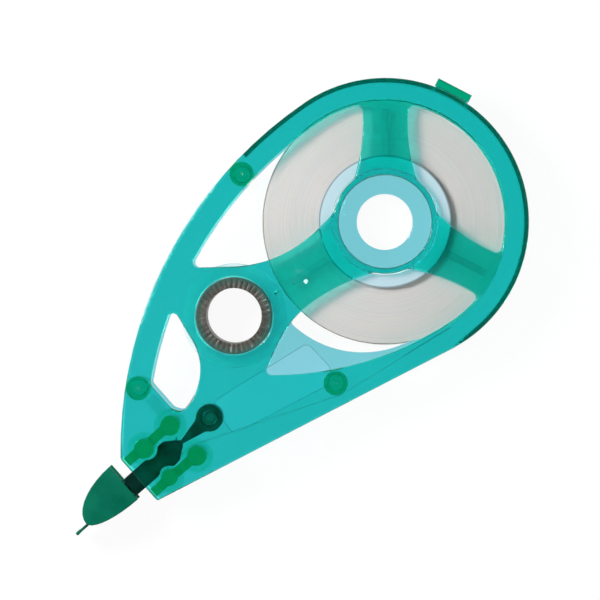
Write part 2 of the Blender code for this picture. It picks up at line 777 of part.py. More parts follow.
def latch_point(radius):
    """Where a latch feature starts, at one end of its length along the rim."""
    return polar(radius, LATCH_ANGLE) + polar(LATCH_LENGTH / 2, LATCH_ANGLE - 90.0)


def latch_bar(name, inner, outer, low, high, margin=0.0):
    start = latch_point((inner + outer) / 2) + polar(margin, LATCH_ANGLE - 90.0)
    return bar(name, start, LATCH_ANGLE + 90.0, LATCH_LENGTH + 2 * margin, (outer - inner) / 2, low, high)


def make_front_frame():
    holes = [upper_window(), right_window(), lower_window_front(), nose_window()]
    holes += [ring_points(HUB, HUB_RING_IN_R), ring_points(TAKE_UP, BEARING_R)]
    plate = prism("front_frame", [frame_outline()] + holes, INNER_HIGH, THICKNESS)
    place_part(plate, TEAL_PLASTIC, ROOT)
    rib_start = ROLL_CORE_R + RUN_GAP
    for name, degrees in (("up", SPOKE_UP), ("down", SPOKE_DOWN), ("nose", SPOKE_NOSE)):
        rib_length = RIM_IN_R - rib_start - SPOKE_RIB
        rib = bar("spoke_rib_" + name, polar(rib_start, degrees), degrees, rib_length, SPOKE_RIB / 2,
                  INNER_HIGH - SPOKE_RIB_DEPTH, INNER_HIGH + BITE)
        add(plate, rib)
    arm_in = LATCH_OUT_R - LATCH_ARM
    add(plate, latch_bar("latch_arm", arm_in, LATCH_OUT_R, LATCH_FOOT, THICKNESS - FIT_GAP))
    add(plate, latch_bar("latch_bridge", END_R - LATCH_HOOK, LATCH_OUT_R - BITE, INNER_HIGH + FIT_GAP,
                         THICKNESS - 2 * FIT_GAP, -BITE))
    add(plate, latch_bar("latch_hook", arm_in - LATCH_HOOK, arm_in + BITE, LATCH_FOOT + FIT_GAP,
                         LATCH_FOOT + LATCH_HOOK_HEIGHT, -BITE))
    cut_sockets(plate, INNER_HIGH - BITE, INNER_HIGH + SPIGOT + FIT_GAP)
    marks = [(place, PIN_MARK_R) for place in PINS.values()]
    marks.append((polar(GATE_MARK_AT, SPOKE_NOSE), GATE_MARK_R))
    marks.append((polar(EJECTOR_MARK_AT, SPOKE_NOSE), EJECTOR_MARK_R))
    for place, radius in marks:
        cut(plate, disc("mark", place, radius, THICKNESS - MARK_DEPTH, THICKNESS + BITE))


def wall_outline():
    """The perimeter wall, from the straight lower side round the reel to the top pin."""
    outer = END_R - WALL_INSET
    inner = outer - WALL
    arm_outer = ARM_R - WALL_INSET
    arm_inner = arm_outer - WALL
    points = arc_points(HUB, polar(outer, WALL_LOW_END), polar(outer, ARM_START), 1)
    points += arc_points(ARM_CENTER, ARM_CENTER + polar(arm_outer, ARM_START),
                         ARM_CENTER + polar(arm_outer, WALL_TOP_END), 1)
    points.append(ARM_CENTER + polar(arm_outer, WALL_TOP_END))
    points += arc_points(ARM_CENTER, ARM_CENTER + polar(arm_inner, WALL_TOP_END),
                         ARM_CENTER + polar(arm_inner, ARM_START), -1)
    points += arc_points(HUB, polar(inner, ARM_START), polar(inner, WALL_LOW_END + WALL_TAPER), -1)
    points.append(polar(inner, WALL_LOW_END + WALL_TAPER))
    points.append(polar(outer - WALL_TIP, WALL_LOW_END))
    return points


def recess_outline():
    upper_corner = Vector((NOSE_X + RECESS_BACK, STEM_Y + RECESS_DROP))
    back_x = LOWER_PIN.x + RECESS_END
    low_point = EDGE_POINT + EDGE_INWARD * RECESS_MARGIN
    pin_side = line(LOWER_PIN + EDGE_INWARD * (PIN_R + FIT_GAP), RECESS_PIN_HEADING)
    return outline(low_point + EDGE_ALONG * (LOWER_PIN_ALONG + 4 * PIN_R), [
        (line(low_point, EDGE_START + 90.0), RECESS_FILLET),
        (pin_side, RECESS_FILLET),
        (line(Vector((back_x, 0.0)), RECESS_BACK_HEADING), RECESS_FILLET),
        (line(upper_corner, 180.0 + RECESS_FALL), RECESS_FILLET),
        (line(upper_corner, RECESS_FRONT_HEADING), RECESS_FILLET),
    ])


def make_rear_frame():
    holes = [upper_window(), right_window(), lower_window_rear(), nose_window()]
    holes += [ring_points(HUB, HUB_BORE_R), ring_points(TAKE_UP, BEARING_R)]
    plate = prism("rear_frame", [frame_outline()] + holes, 0.0, PLATE)
    place_part(plate, TEAL_PLASTIC, ROOT)
    foot = INNER_LOW - BITE
    top = INNER_HIGH - FIT_GAP
    add(plate, tube("hub_sleeve", HUB, SLEEVE_R, SLEEVE_R - HUB_SLEEVE, foot, top))
    add(plate, prism("perimeter_wall", [wall_outline()], foot, top))
    web_top = COLLAR_LOW - RUN_GAP
    web_reach = POST_INNER_BACK - POST_OUTER_BACK
    for name in ("guide_post_return_outer", "guide_post_feed_outer"):
        place, radius = POSTS[name]
        web_start = place + Vector((radius + RUN_GAP, 0.0))
        web_length = web_reach - radius - POST_R - 2 * RUN_GAP
        add(plate, bar("web_" + name, web_start, 0.0, web_length, GUIDE_WEB / 2, foot, web_top))
        front_start = Vector((NOSE_X + GUIDE_WEB_FRONT, place.y))
        front_length = place.x - radius - RUN_GAP - front_start.x
        add(plate, bar("front_" + name, front_start, 0.0, front_length, GUIDE_WEB / 2, foot, web_top))
    inner_post, inner_radius = POSTS["guide_post_return_inner"]
    rib_low = inner_post + Vector((0.0, inner_radius + RUN_GAP))
    rib_span = NOSE_PIN - rib_low
    rib_length = rib_span.length - PIN_R - RUN_GAP
    rib_degrees = math.degrees(math.atan2(rib_span.y, rib_span.x))
    rib_top = INNER_LOW + NOSE_RIB_HEIGHT
    add(plate, bar("nose_rib", rib_low, rib_degrees, rib_length, NOSE_RIB / 2, foot, rib_top))
    cut_sockets(plate, INNER_LOW - SPIGOT - FIT_GAP, INNER_LOW + BITE)
    cut(plate, prism("rear_recess", [recess_outline()], -BITE, RECESS_DEPTH))
    wall_in = END_R - WALL_INSET - WALL
    thinned = LATCH_OUT_R - LATCH_ARM - FIT_GAP * 2
    slot_low = LATCH_FOOT - RUN_GAP
    cut(plate, latch_bar("latch_way", thinned, LATCH_OUT_R + BITE, slot_low, THICKNESS, RUN_GAP))
    cut(plate, latch_bar("latch_slot", wall_in - WALL, LATCH_OUT_R, slot_low,
                         LATCH_FOOT + LATCH_HOOK_HEIGHT + RUN_GAP, RUN_GAP))


# Pins and posts


def make_joining_pin(name, place):
    low = INNER_LOW - SPIGOT
    high = INNER_HIGH + SPIGOT
    body_low = INNER_LOW + FIT_GAP
    body_high = INNER_HIGH - FIT_GAP
    pin = turned(name, [
        (0.0, high),
        (PIN_SPIGOT_R, high),
        (PIN_SPIGOT_R, body_high),
        (PIN_R, body_high),
        (PIN_R, body_low),
        (PIN_SPIGOT_R, body_low),
        (PIN_SPIGOT_R, low),
        (0.0, low),
    ])
    place_part(pin, PIN_PLASTIC, ROOT)
    pin.location = (place.x, place.y, 0.0)


def make_guide_post(name, place, radius):
    low = INNER_LOW - SPIGOT
    high = INNER_HIGH + SPIGOT
    body_low = INNER_LOW + FIT_GAP
    collar_high = INNER_HIGH - FIT_GAP
    collar_r = radius + POST_COLLAR
    post = turned(name, [
        (0.0, high),
        (POST_SPIGOT_R, high),
        (POST_SPIGOT_R, collar_high),
        (collar_r, collar_high),
        (collar_r, COLLAR_LOW),
        (radius, COLLAR_LOW),
        (radius, body_low),
        (POST_SPIGOT_R, body_low),
        (POST_SPIGOT_R, low),
        (0.0, low),
    ])
    place_part(post, PIN_PLASTIC, ROOT)
    post.location = (place.x, place.y, 0.0)


def make_anchor_pin():
    pin = disc("anchor_pin", HUB, ANCHOR_PIN_R, INNER_LOW - SPIGOT, INNER_HIGH + SPIGOT)
    place_part(pin, PIN_PLASTIC, ROOT)
    pin.location.x = ANCHOR.x
    pin.location.y = ANCHOR.y


# Supply roll and take-up reel


def make_supply_roll():
    core = tube("supply_core", HUB, ROLL_CORE_R, ROLL_CORE_BORE_R, INNER_LOW + RUN_GAP, INNER_HIGH - RUN_GAP)
    place_part(core, CORE_PLASTIC, HUB_AXIS)
    low = MID - TAPE_WIDTH / 2
    high = MID + TAPE_WIDTH / 2
    turn_start = ROLL_R - OUTER_TURN_PITCH * OUTER_TURN_SWEEP / 360.0 - TAPE / 2
    wound_r = turn_start - TAPE / 2 - FIT_GAP
    roll = tube("supply_tape_roll", HUB, wound_r, ROLL_CORE_R + FIT_GAP, low, high)
    place_part(roll, TAPE_COAT, HUB_AXIS)
    line_points = spiral(turn_start, OUTER_TURN_PITCH, EDGE_START, OUTER_TURN_SWEEP)
    turn = prism("supply_tape_outer_turn", [strip(line_points, TAPE)], low, high)
    place_part(turn, TAPE_COAT, HUB_AXIS)
    print("supply tape outer turn, least gap to itself: %.2f mm" % (least_gap(line_points, TAPE) / MM))


def make_take_up_reel():
    core = tube("take_up_core", HUB, TAKE_UP_CORE_R, TAKE_UP_BORE_R, TAKE_UP_CORE_INSET,
                THICKNESS - TAKE_UP_CORE_INSET)
    place_part(core, REEL_PLASTIC, TAKE_UP_AXIS)
    seat_r = TAKE_UP_CORE_R + FIT_GAP
    flange_low = INNER_LOW + RUN_GAP
    flange_high = INNER_HIGH - RUN_GAP
    rear = tube("take_up_flange_rear", HUB, FLANGE_R, seat_r, flange_low, flange_low + FLANGE)
    place_part(rear, FLANGE_PLASTIC, TAKE_UP_AXIS)
    front = tube("take_up_flange_front", HUB, FLANGE_R, seat_r, flange_high - FLANGE, flange_high)
    place_part(front, FLANGE_PLASTIC, TAKE_UP_AXIS)
    line_points = spiral(seat_r + TAPE / 2, WINDING_PITCH, 0.0, 360.0 * WINDING_TURNS)
    winding = prism("take_up_winding", [strip(line_points, TAPE)], MID - TAPE_WIDTH / 2, MID + TAPE_WIDTH / 2)
    place_part(winding, CARRIER_FILM, TAKE_UP_AXIS)
    print("take-up winding, least gap to itself: %.2f mm" % (least_gap(line_points, TAPE) / MM))


# Stem, neck and nose, measured from the stem axis


def scallop(name):
    """A post's clearance circle in the stem's flanges, seen from the stem axis."""
    place, radius = POSTS[name]
    return place - STEM_AXIS, radius + SCALLOP_GAP


def stem_side(name, side):
    """One side of the stem's flange outline, from the bar to the point."""
    center, radius = scallop(name)
    drop = abs(center.y)
    start_x = center.x - math.sqrt(radius ** 2 - (drop - STEM_HALF) ** 2)
    end_x = center.x + math.sqrt(radius ** 2 - (drop - BLOCK_HALF) ** 2)
    points = [Vector((NOSE_X - STEM_REACH, side * STEM_HALF))]
    scallop_end = Vector((end_x, side * BLOCK_HALF))
    points += arc_points(center, Vector((start_x, side * STEM_HALF)), scallop_end, side)
    points.append(scallop_end)
    points.append(Vector((NOSE_X + BLOCK_BACK, side * BLOCK_HALF)))
    points.append(Vector((NOSE_X + STEM_POINT_BACK, side * STEM_POINT_HALF)))
    return points


def make_stem():
    flange_outline = stem_side("guide_post_feed_outer", -1) + stem_side("guide_post_return_outer", 1)[::-1]
    flange_top = STEM_CHANNEL + STEM_FLANGE
    web_end = NOSE_X + BLOCK_BACK
    web_start = Vector((NOSE_X - STEM_REACH, 0.0))
    stem = bar("applicator_stem", web_start, 0.0, web_end - web_start.x, STEM_WEB_HALF,
               -STEM_CHANNEL - BITE, STEM_CHANNEL + BITE)
    place_part(stem, STEM_PLASTIC, TWIST_AXIS)
    add(stem, prism("stem_flange_front", [flange_outline], STEM_CHANNEL, flange_top))
    add(stem, prism("stem_flange_rear", [flange_outline], -flange_top, -STEM_CHANNEL))
    tongue_start = web_start - Vector((TONGUE_LENGTH, 0.0))
    add(stem, bar("stem_tongue", tongue_start, 0.0, TONGUE_LENGTH + BITE, STEM_WEB_HALF - FIT_GAP,
                  -TONGUE_HALF_HEIGHT, TONGUE_HALF_HEIGHT))


def make_stem_anchor():
    neck_x = NOSE_X + STEM_POINT_BACK + NECK_GAP
    lean = math.degrees(math.asin(TAIL_HALF / EYELET_R))
    eye = Vector((ANCHOR.x, 0.0))
    tail_low = polar(EYELET_R, 180.0 + lean)
    tail_high = polar(EYELET_R, 180.0 - lean)
    eyelet = arc_points(eye, eye + tail_low, eye + tail_high, 1) + [eye + tail_high]
    points = eyelet + [Vector((neck_x, STEM_POINT_HALF)), Vector((neck_x, -STEM_POINT_HALF))]
    hole = ring_points(eye, ANCHOR_PIN_R + FIT_GAP)
    anchor = prism("stem_anchor", [points, hole], -ANCHOR_HALF_HEIGHT, ANCHOR_HALF_HEIGHT)
    place_part(anchor, STEM_PLASTIC, ROOT)
    anchor.location = (0.0, STEM_Y, MID)


def cheek_outline(back_x):
    middle = Vector((back_x, CHEEK_TIP_RISE))
    points = quarter_ellipse(middle, CHEEK_LENGTH, CHEEK_TOP - CHEEK_TIP_RISE, 90.0)
    points += quarter_ellipse(middle, CHEEK_LENGTH, CHEEK_LOW + CHEEK_TIP_RISE, 180.0)
    points.append(Vector((back_x, -CHEEK_LOW)))
    return points


def blade_places():
    """The wedge's back, the cheeks' tip and the centre of the blade's lip."""
    back_x = NOSE_X - STEM_REACH - FIT_GAP
    tip_x = back_x - CHEEK_LENGTH
    return back_x, tip_x, tip_x - BLADE_LENGTH + BLADE_LIP_R * 2


def wedge_outline():
    back_x, tip_x, lip_x = blade_places()
    meet_x = lip_x + math.sqrt(BLADE_LIP_R ** 2 - BLADE_HALF ** 2)
    lip = Vector((lip_x, 0.0))
    upper = Vector((meet_x, BLADE_HALF))
    lower = Vector((meet_x, -BLADE_HALF))
    points = [Vector((back_x, WEDGE_HALF)), Vector((tip_x, BLADE_HALF))]
    points += arc_points(lip, upper, lower, 1) + [lower]
    points += [Vector((tip_x, -BLADE_HALF)), Vector((back_x, -WEDGE_HALF))]
    return points


def make_nose():
    back_x = blade_places()[0]
    nose = prism("applicator_nose", [wedge_outline()], -STEM_CHANNEL - BITE, STEM_CHANNEL + BITE)
    place_part(nose, NOSE_PLASTIC, TWIST_AXIS)
    add(nose, prism("cheek_front", [cheek_outline(back_x)], STEM_CHANNEL, STEM_CHANNEL + CHEEK))
    add(nose, prism("cheek_rear", [cheek_outline(back_x)], -STEM_CHANNEL - CHEEK, -STEM_CHANNEL))
    slot_start = Vector((back_x - TONGUE_LENGTH, 0.0))
    slot_height = TONGUE_HALF_HEIGHT + FIT_GAP
    slot_length = TONGUE_LENGTH + BITE
    cut(nose, bar("tongue_slot", slot_start, 0.0, slot_length, STEM_WEB_HALF, -slot_height, slot_height))


# Tape between the reels and round the blade


def loop_end(side):
    """Where the tape passes from the frame's guides to the twisting stem, seen from the stem axis."""
    return Vector((NOSE_X + LOOP_BACK, side * (POST_CHANNEL - TAPE_LAY - TAPE / 2)))


def guide_stop(place, radius, side, gap=TAPE_LAY):
    return (place, radius + gap + TAPE / 2, side)


def make_tape_run(name, stops, material, holder, low):
    run = prism(name, [strip(taut_route(stops), TAPE)], low, low + TAPE_WIDTH)
    place_part(run, material, holder)


def make_tape():
    low = MID - TAPE_WIDTH / 2
    leave = Vector((-FIT_GAP * 2, 0.0))
    feed_end = loop_end(-1) + STEM_AXIS - leave
    make_tape_run("tape_feed_run", [
        guide_stop(HUB, ROLL_R, -1, RUN_GAP),
        guide_stop(LOWER_PIN, PIN_R, -1),
        guide_stop(*POSTS["guide_post_feed_inner"], 1),
        guide_stop(*POSTS["guide_post_feed_outer"], 1),
        (feed_end, 0.0, 1),
    ], TAPE_COAT, ROOT, low)
    wound_r = TAKE_UP_CORE_R + FIT_GAP + TAPE + WINDING_PITCH * WINDING_TURNS
    return_start = loop_end(1) + STEM_AXIS - leave
    make_tape_run("tape_return_run", [
        (return_start, 0.0, 1),
        guide_stop(*POSTS["guide_post_return_outer"], 1),
        guide_stop(*POSTS["guide_post_return_inner"], 1),
        guide_stop(ANCHOR, EYELET_R, -1),
        guide_stop(TAKE_UP, wound_r, 1, RUN_GAP),
    ], CARRIER_FILM, ROOT, low)
    back_x, _, lip_x = blade_places()
    make_tape_run("tape_tip_loop", [
        (loop_end(-1), 0.0, -1),
        guide_stop(Vector((back_x, -WEDGE_HALF)), 0.0, -1),
        guide_stop(Vector((lip_x, 0.0)), BLADE_LIP_R, -1),
        guide_stop(Vector((back_x, WEDGE_HALF)), 0.0, -1),
        (loop_end(1), 0.0, -1),
    ], CARRIER_FILM, TWIST_AXIS, -TAPE_WIDTH / 2)


def centre_on_origin():
    """Move the assembly so that the middle of its base is at the origin."""
    bpy.context.view_layer.update()
    graph = bpy.context.evaluated_depsgraph_get()
    corners = []
    for solid in PARTS.objects:
        if solid.type == "MESH":
            evaluated = solid.evaluated_get(graph)
            corners += [evaluated.matrix_world @ Vector(corner) for corner in evaluated.bound_box]
    for axis in (0, 1):
        values = [corner[axis] for corner in corners]
        ROOT.location[axis] = -(min(values) + max(values)) / 2
    bpy.context.view_layer.update()


def main():
    make_front_frame()
    make_rear_frame()
    for name, place in PINS.items():
        make_joining_pin(name, place)
    for name, (place, radius) in POSTS.items():
        make_guide_post(name, place, radius)
    make_anchor_pin()
    make_supply_roll()
    make_take_up_reel()
    make_stem()
    make_stem_anchor()
    make_nose()
    make_tape()
    centre_on_origin()
    for axis in (ROOT, HUB_AXIS, TAKE_UP_AXIS, TWIST_AXIS):
        print(axis.name, [round(value / MM, 4) for value in axis.matrix_world.translation])


main()
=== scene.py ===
"""Correction tape cassette, dressed for its picture.

Each operator makes one piece of the cassette, or a group of like pieces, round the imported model: the two
clear frame halves, the pins and posts, the wound tape, the take-up reel, the stem and the nose. The last
one sets the stage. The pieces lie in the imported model's own place, in metres, with Z up.
"""

import json
import math

import bmesh
import bpy
from bpy.props import FloatProperty, FloatVectorProperty, IntProperty, PointerProperty
from mathutils import Matrix, Vector, noise


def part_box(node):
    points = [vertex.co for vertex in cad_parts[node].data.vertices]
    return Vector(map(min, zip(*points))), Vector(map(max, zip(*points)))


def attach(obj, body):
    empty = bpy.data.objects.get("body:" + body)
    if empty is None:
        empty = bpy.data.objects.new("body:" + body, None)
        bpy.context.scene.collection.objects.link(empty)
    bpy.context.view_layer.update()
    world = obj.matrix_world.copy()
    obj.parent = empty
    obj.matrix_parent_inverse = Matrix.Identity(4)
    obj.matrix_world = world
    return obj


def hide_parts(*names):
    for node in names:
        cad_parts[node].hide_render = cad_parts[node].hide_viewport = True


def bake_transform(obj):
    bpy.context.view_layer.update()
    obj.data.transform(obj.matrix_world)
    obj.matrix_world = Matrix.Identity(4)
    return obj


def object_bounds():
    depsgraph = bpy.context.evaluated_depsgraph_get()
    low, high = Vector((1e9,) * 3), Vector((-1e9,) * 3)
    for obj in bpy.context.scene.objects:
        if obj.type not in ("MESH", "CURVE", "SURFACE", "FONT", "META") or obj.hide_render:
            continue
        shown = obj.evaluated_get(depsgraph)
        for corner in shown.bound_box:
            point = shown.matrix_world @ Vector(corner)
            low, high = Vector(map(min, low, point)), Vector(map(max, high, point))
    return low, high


bl_info = {
    "name": "Correction tape cassette",
    "version": (1, 0, 0),
    "blender": (4, 5, 0),
    "location": "3D View > Sidebar > Cassette",
    "description": "Dresses the packed correction tape cassette piece by piece",
    "category": "Object",
}

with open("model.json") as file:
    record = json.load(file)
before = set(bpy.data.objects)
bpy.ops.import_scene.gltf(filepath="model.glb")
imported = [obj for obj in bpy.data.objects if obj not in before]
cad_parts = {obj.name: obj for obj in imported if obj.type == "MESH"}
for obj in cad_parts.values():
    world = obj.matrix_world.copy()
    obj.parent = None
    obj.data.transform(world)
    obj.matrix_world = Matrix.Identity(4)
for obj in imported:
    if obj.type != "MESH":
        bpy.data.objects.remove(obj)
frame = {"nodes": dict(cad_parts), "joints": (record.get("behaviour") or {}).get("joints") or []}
CAD_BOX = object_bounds()
MM = 0.001


def joint_place(name):
    for joint in frame["joints"]:
        if joint["name"] == name:
            return Vector(joint["pos_m"])
    raise KeyError(name)


HUB = joint_place("supply_spin")
REEL = joint_place("take_up_spin")
TWIST = joint_place("tip_twist")

# Sizes shared with the solids
PLATE = 1.2 * MM
THICKNESS = CAD_BOX[1].z
BITE = 0.25 * MM              # how far joined features reach into each other
MARK_DEPTH = 0.2 * MM
SPOKE_RIB_DEPTH = 0.6 * MM
RECESS_DEPTH = 0.45 * MM
FIT_GAP = 0.1 * MM
WALL_TOP = 7.7 * MM
NOSE_RIB_TOP = 1.9 * MM
WEB_TOP = 7.1 * MM
END_R = 21.4 * MM
WALL_IN_R = 20.75 * MM
LATCH_ANGLE = 21.2            # degrees
LATCH_LENGTH = 5.6 * MM
LATCH_OUT_R = 22.6 * MM
LATCH_ARM = 1.15 * MM
LATCH_HOOK = 0.7 * MM
LATCH_FOOT = 2.5 * MM
LATCH_HOOK_TOP = 4.2 * MM
RUN_GAP = 0.3 * MM
TAPE_LOW = 2.4 * MM
TAPE_HIGH = 6.6 * MM
TAPE = 0.1 * MM
ROLL_IN_R = 9.8 * MM          # inside the core's rim, so that the spiral leaves no gap beside it
ROLL_WOUND_R = 18.35 * MM
OUTER_TURN_SWEEP = 240        # degrees, to where the tape leaves the roll
FILM_IN_R = 5.76 * MM
FILM_WOUND_R = 6.85 * MM
COAT_MARGIN = 0.1 * MM        # of bare film beside the coating
NECK_HALF_WIDTH = 0.26 * MM
NECK_HALF_HEIGHT = 2.2 * MM
MARK_SLOPE = 22.0             # degrees, the sides of the dished marks
RECESS_ROUND = 0.08 * MM
WALL_ROUND = 0.1 * MM
WALL_SINK = 0.05 * MM         # how far a wall made by itself reaches into the plate
GUIDE_WALL_SPREAD = 0.3 * MM  # how much wider, away from the stem, the guide walls are than their solids
GUIDE_WALL_REACH = 0.4 * MM   # how far they run into the posts
RING_SWELL = 0.24 * MM        # of the take-up ring in its bearing holes
PIN_BORE_SHARE = 0.62
PIN_BORE_DEPTH = 1.6 * MM
COLLAR = 0.3 * MM
COLLAR_REACH = 0.95 * MM
CORE_WALL = 1.95 * MM
CORE_ROUND = 0.03 * MM
CORE_SHADE_BAND = 0.3 * MM          # width of the core's top edge that carries painted shade beside the tape
PIN_MARK_R = 0.32 * MM        # the marks over the pins are smaller
GATE_R = 0.5 * MM             # the mark where the plastic was fed in is smaller
MARK_R = 1.5 * MM             # every mark is smaller
GATE_SLOPE = 58.0             # degrees
GATE_DEPTH = 0.7 * MM
BARE_PAINTED_SHADE = 0.28             # painted shade on the stem where it stands clear of the frame

# Worked out from the sizes above
INNER_LOW = PLATE
INNER_HIGH = THICKNESS - PLATE
SHOULDER_LOW = INNER_LOW + FIT_GAP
SHOULDER_HIGH = INNER_HIGH - FIT_GAP

# Smoothness
WELD = 0.002 * MM
LEVEL = 0.01 * MM             # faces this close to a height lie on it
SAME_LOOP = 0.05 * MM
ARC_EDGE = 2.0 * MM           # shorter edges of an outline stand for arcs
ARC_TURN = 30.0               # degrees, the sharpest turn that is still an arc
ARC_PARTS = 3
FULL_ROUND_EDGE = 20.0 * MM   # outlines shorter than this have smaller rounding
TURNED_STEPS = 72
SHARP_ANGLE = 38.0            # degrees


class CassetteSizes(bpy.types.PropertyGroup):
    """Small sizes of the finished pieces"""

    edge_round: FloatProperty(
        name="Edge rounding", description="Rounding of the moulded edges",
        default=0.24 * MM, min=0.02 * MM, max=0.3 * MM, subtype="DISTANCE", unit="LENGTH", precision=5)
    pin_round: FloatProperty(
        name="Pin rounding", description="Rounding of the pins, posts and reels",
        default=0.1 * MM, min=0.02 * MM, max=0.3 * MM, subtype="DISTANCE", unit="LENGTH", precision=5)
    nose_round: FloatProperty(
        name="Nose rounding", description="Rounding of the nose, stem and eyelet",
        default=0.12 * MM, min=0.02 * MM, max=0.3 * MM, subtype="DISTANCE", unit="LENGTH", precision=5)
    turn_pitch: FloatProperty(
        name="Turn pitch", description="Step from one ridge of wound tape to the next",
        default=0.16 * MM, min=0.08 * MM, max=0.5 * MM, subtype="DISTANCE", unit="LENGTH", precision=5)
    turn_relief: FloatProperty(
        name="Turn relief", description="How far the grooves between wound turns lie below the ridges",
        default=0.06 * MM, min=0.0, max=0.2 * MM, subtype="DISTANCE", unit="LENGTH", precision=5)
    reel_teeth: IntProperty(
        name="Reel serrations", description="Serrations round the ends of the take-up ring",
        default=40, min=12, max=80)
    reel_tooth_depth: FloatProperty(
        name="Serration depth", description="Depth of those serrations",
        default=0.22 * MM, min=0.0, max=0.5 * MM, subtype="DISTANCE", unit="LENGTH", precision=5)
    view_width: FloatProperty(
        name="View width", description="Width of the stage that the picture takes in",
        default=90.0 * MM, min=50.0 * MM, max=500.0 * MM, subtype="DISTANCE", unit="LENGTH", precision=4)


def colour_property(name, description, default):
    return FloatVectorProperty(name=name, description=description, default=default, min=0.0, max=1.0,
                               size=3, subtype="COLOR")


class CassetteColours(bpy.types.PropertyGroup):
    """Colours of the finished pieces"""

    front_teal: colour_property("Front teal", "Light left after a depth of the front", (0.0, 0.91, 0.855))
    front_face: colour_property("Front faces", "Light left after the front half's faces", (0.75, 1.0, 1.0))
    # painted shade: the front faces turn a deeper green toward the round end
    round_end_shaded_face: colour_property("Round end", "The same at the round end", (0.32, 1.0, 0.95))
    rear_teal: colour_property("Rear teal", "Light left after a depth of the rear", (0.666, 0.91, 0.855))
    rear_face: colour_property("Rear faces", "Light left after the rear half's faces", (0.405, 0.78, 0.975))
    wall_teal: colour_property("Wall teal", "Light left after a depth of the wall", (0.505, 0.887, 0.855))
    wall_face: colour_property("Wall faces", "Light left after the wall's faces", (0.586, 0.937, 0.945))
    pin_green: colour_property("Pin green", "Light left after a depth of a pin", (0.05, 0.935, 0.825))
    post_green: colour_property("Post green", "Light left after a depth of a post", (0.05, 0.922, 0.735))
    anchor_green: colour_property("Anchor green", "Light left after a depth of that pin", (0.3, 0.72, 0.63))
    flange: colour_property("Flange", "Light left after a depth of the flanges", (0.8, 0.99, 1.0))
    clear_face: colour_property("Clear faces", "Light left after other clear faces", (0.95, 1.0, 1.0))
    nose: colour_property("Nose green", "Satin plastic of the nose", (0.0, 0.168, 0.097))
    stem: colour_property("Stem black", "Satin plastic of the stem and eyelet", (0.001, 0.088, 0.064))
    core: colour_property("Core blue", "Milky plastic of the supply core", (0.66, 0.86, 0.95))
    tape: colour_property("Tape white", "Edges of the wound tape", (0.79, 0.77, 0.757))
    coat: colour_property("Coating", "White coating that the tape carries", (0.93, 0.93, 0.92))
    film: colour_property("Film", "Clear carrier film", (0.97, 0.99, 0.985))
    reel: colour_property("Reel brown", "Mottled plastic of the take-up ring", (0.088, 0.086, 0.073))
    # painted shade: the shadowed gap round the take-up ring, seen through the clear plate
    reel_gap_shade: colour_property("Reel edge", "Its edge, beside the clear plastic", (0.04, 0.135, 0.11))


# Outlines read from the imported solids


def left_of(vector):
    return Vector((-vector.y, vector.x))


def polar(radius, degrees):
    angle = math.radians(degrees)
    return Vector((math.cos(angle), math.sin(angle))) * radius


def face_loops(node, height, facing):
    """Outlines of a node's flat faces at one height, run with the plastic on their left."""
    work = bmesh.new()
    work.from_mesh(frame["nodes"][node].data)
    bmesh.ops.remove_doubles(work, verts=work.verts, dist=WELD)
    work.normal_update()
    for face in work.faces:
        level = all(abs(vert.co.z - height) < LEVEL for vert in face.verts)
        face.tag = level and face.normal.z * facing > 0.99
    onward = {}
    for face in work.faces:
        for corner in face.loops:
            shared = any(other.tag for other in corner.edge.link_faces if other is not face)
            if face.tag and not shared:
                start = corner.vert
                end = corner.link_loop_next.vert
                if facing < 0:
                    start, end = end, start
                onward[start] = end
    loops = []
    while onward:
        start, place = onward.popitem()
        points = [start.co.xy]
        while place is not start:
            points.append(place.co.xy)
            place = onward.pop(place)
        loops.append([point.copy() for point in points])
    work.free()
    if not loops:
        raise ValueError("%s has no flat face at %.2f mm" % (node, height / MM))
    return loops


def perimeter(points):
    return sum((point - points[index - 1]).length for index, point in enumerate(points))


def middle(points):
    """The balance point of an outline, which its number of points doesn't change."""
    total = Vector((0.0, 0.0))
    for index, point in enumerate(points):
        before = points[index - 1]
        total += (point + before) * (0.5 * (point - before).length)
    return total / perimeter(points)


def is_among(points, others):
    """True if an outline is also one of the others."""
    for other in others:
        apart = (middle(points) - middle(other)).length
        if apart < SAME_LOOP and abs(perimeter(points) - perimeter(other)) < SAME_LOOP:
            return True
    return False


def end_heading(edge, beside):
    """Heading at the end of a short edge that belongs to an arc, or None at a corner."""
    if beside is None or math.degrees(edge.angle(beside, 0.0)) > ARC_TURN:
        return None
    if beside.length > ARC_EDGE:
        return beside.normalized()
    return (edge.normalized() + beside.normalized()).normalized()


def mirrored(heading, chord):
    unit = chord.normalized()
    return unit * (2 * heading.dot(unit)) - heading


def finer(points, closed=True):
    """The same line with its short edges bent into smooth arcs."""
    count = len(points)
    spans = [points[(index + 1) % count] - points[index] for index in range(count)]
    result = []
    for index in range(count if closed else count - 1):
        edge = spans[index]
        result.append(points[index])
        before = spans[index - 1] if closed or index > 0 else None
        after = spans[(index + 1) % count] if closed or index < count - 2 else None
        leaving = end_heading(edge, before)
        arriving = end_heading(edge, after)
        if edge.length > ARC_EDGE or (leaving is None and arriving is None):
            continue
        leaving = leaving or mirrored(arriving, edge)
        arriving = arriving or mirrored(leaving, edge)
        for part in range(1, ARC_PARTS):
            t = part / ARC_PARTS
            bend = leaving * (t * (1 - t) ** 2) - arriving * (t ** 2 * (1 - t))
            result.append(points[index] + edge * (t * t * (3 - 2 * t)) + bend * edge.length)
    if not closed:
        result.append(points[-1])
    return result


def inset(points, distance):
    """An outline moved into the plastic on its left."""
    count = len(points)
    moved = []
    for index, point in enumerate(points):
        before = left_of((point - points[index - 1]).normalized())
        after = left_of((points[(index + 1) % count] - point).normalized())
        moved.append(point + (before + after) * (distance / max(1 + before.dot(after), 0.3)))
    return moved


def bar_loop(center, degrees, length, half_width):
    along = polar(length / 2, degrees)
    across = left_of(polar(half_width, degrees))
    ends = (center - along, center + along)
    return [ends[0] - across, ends[1] - across, ends[1] + across, ends[0] + across]


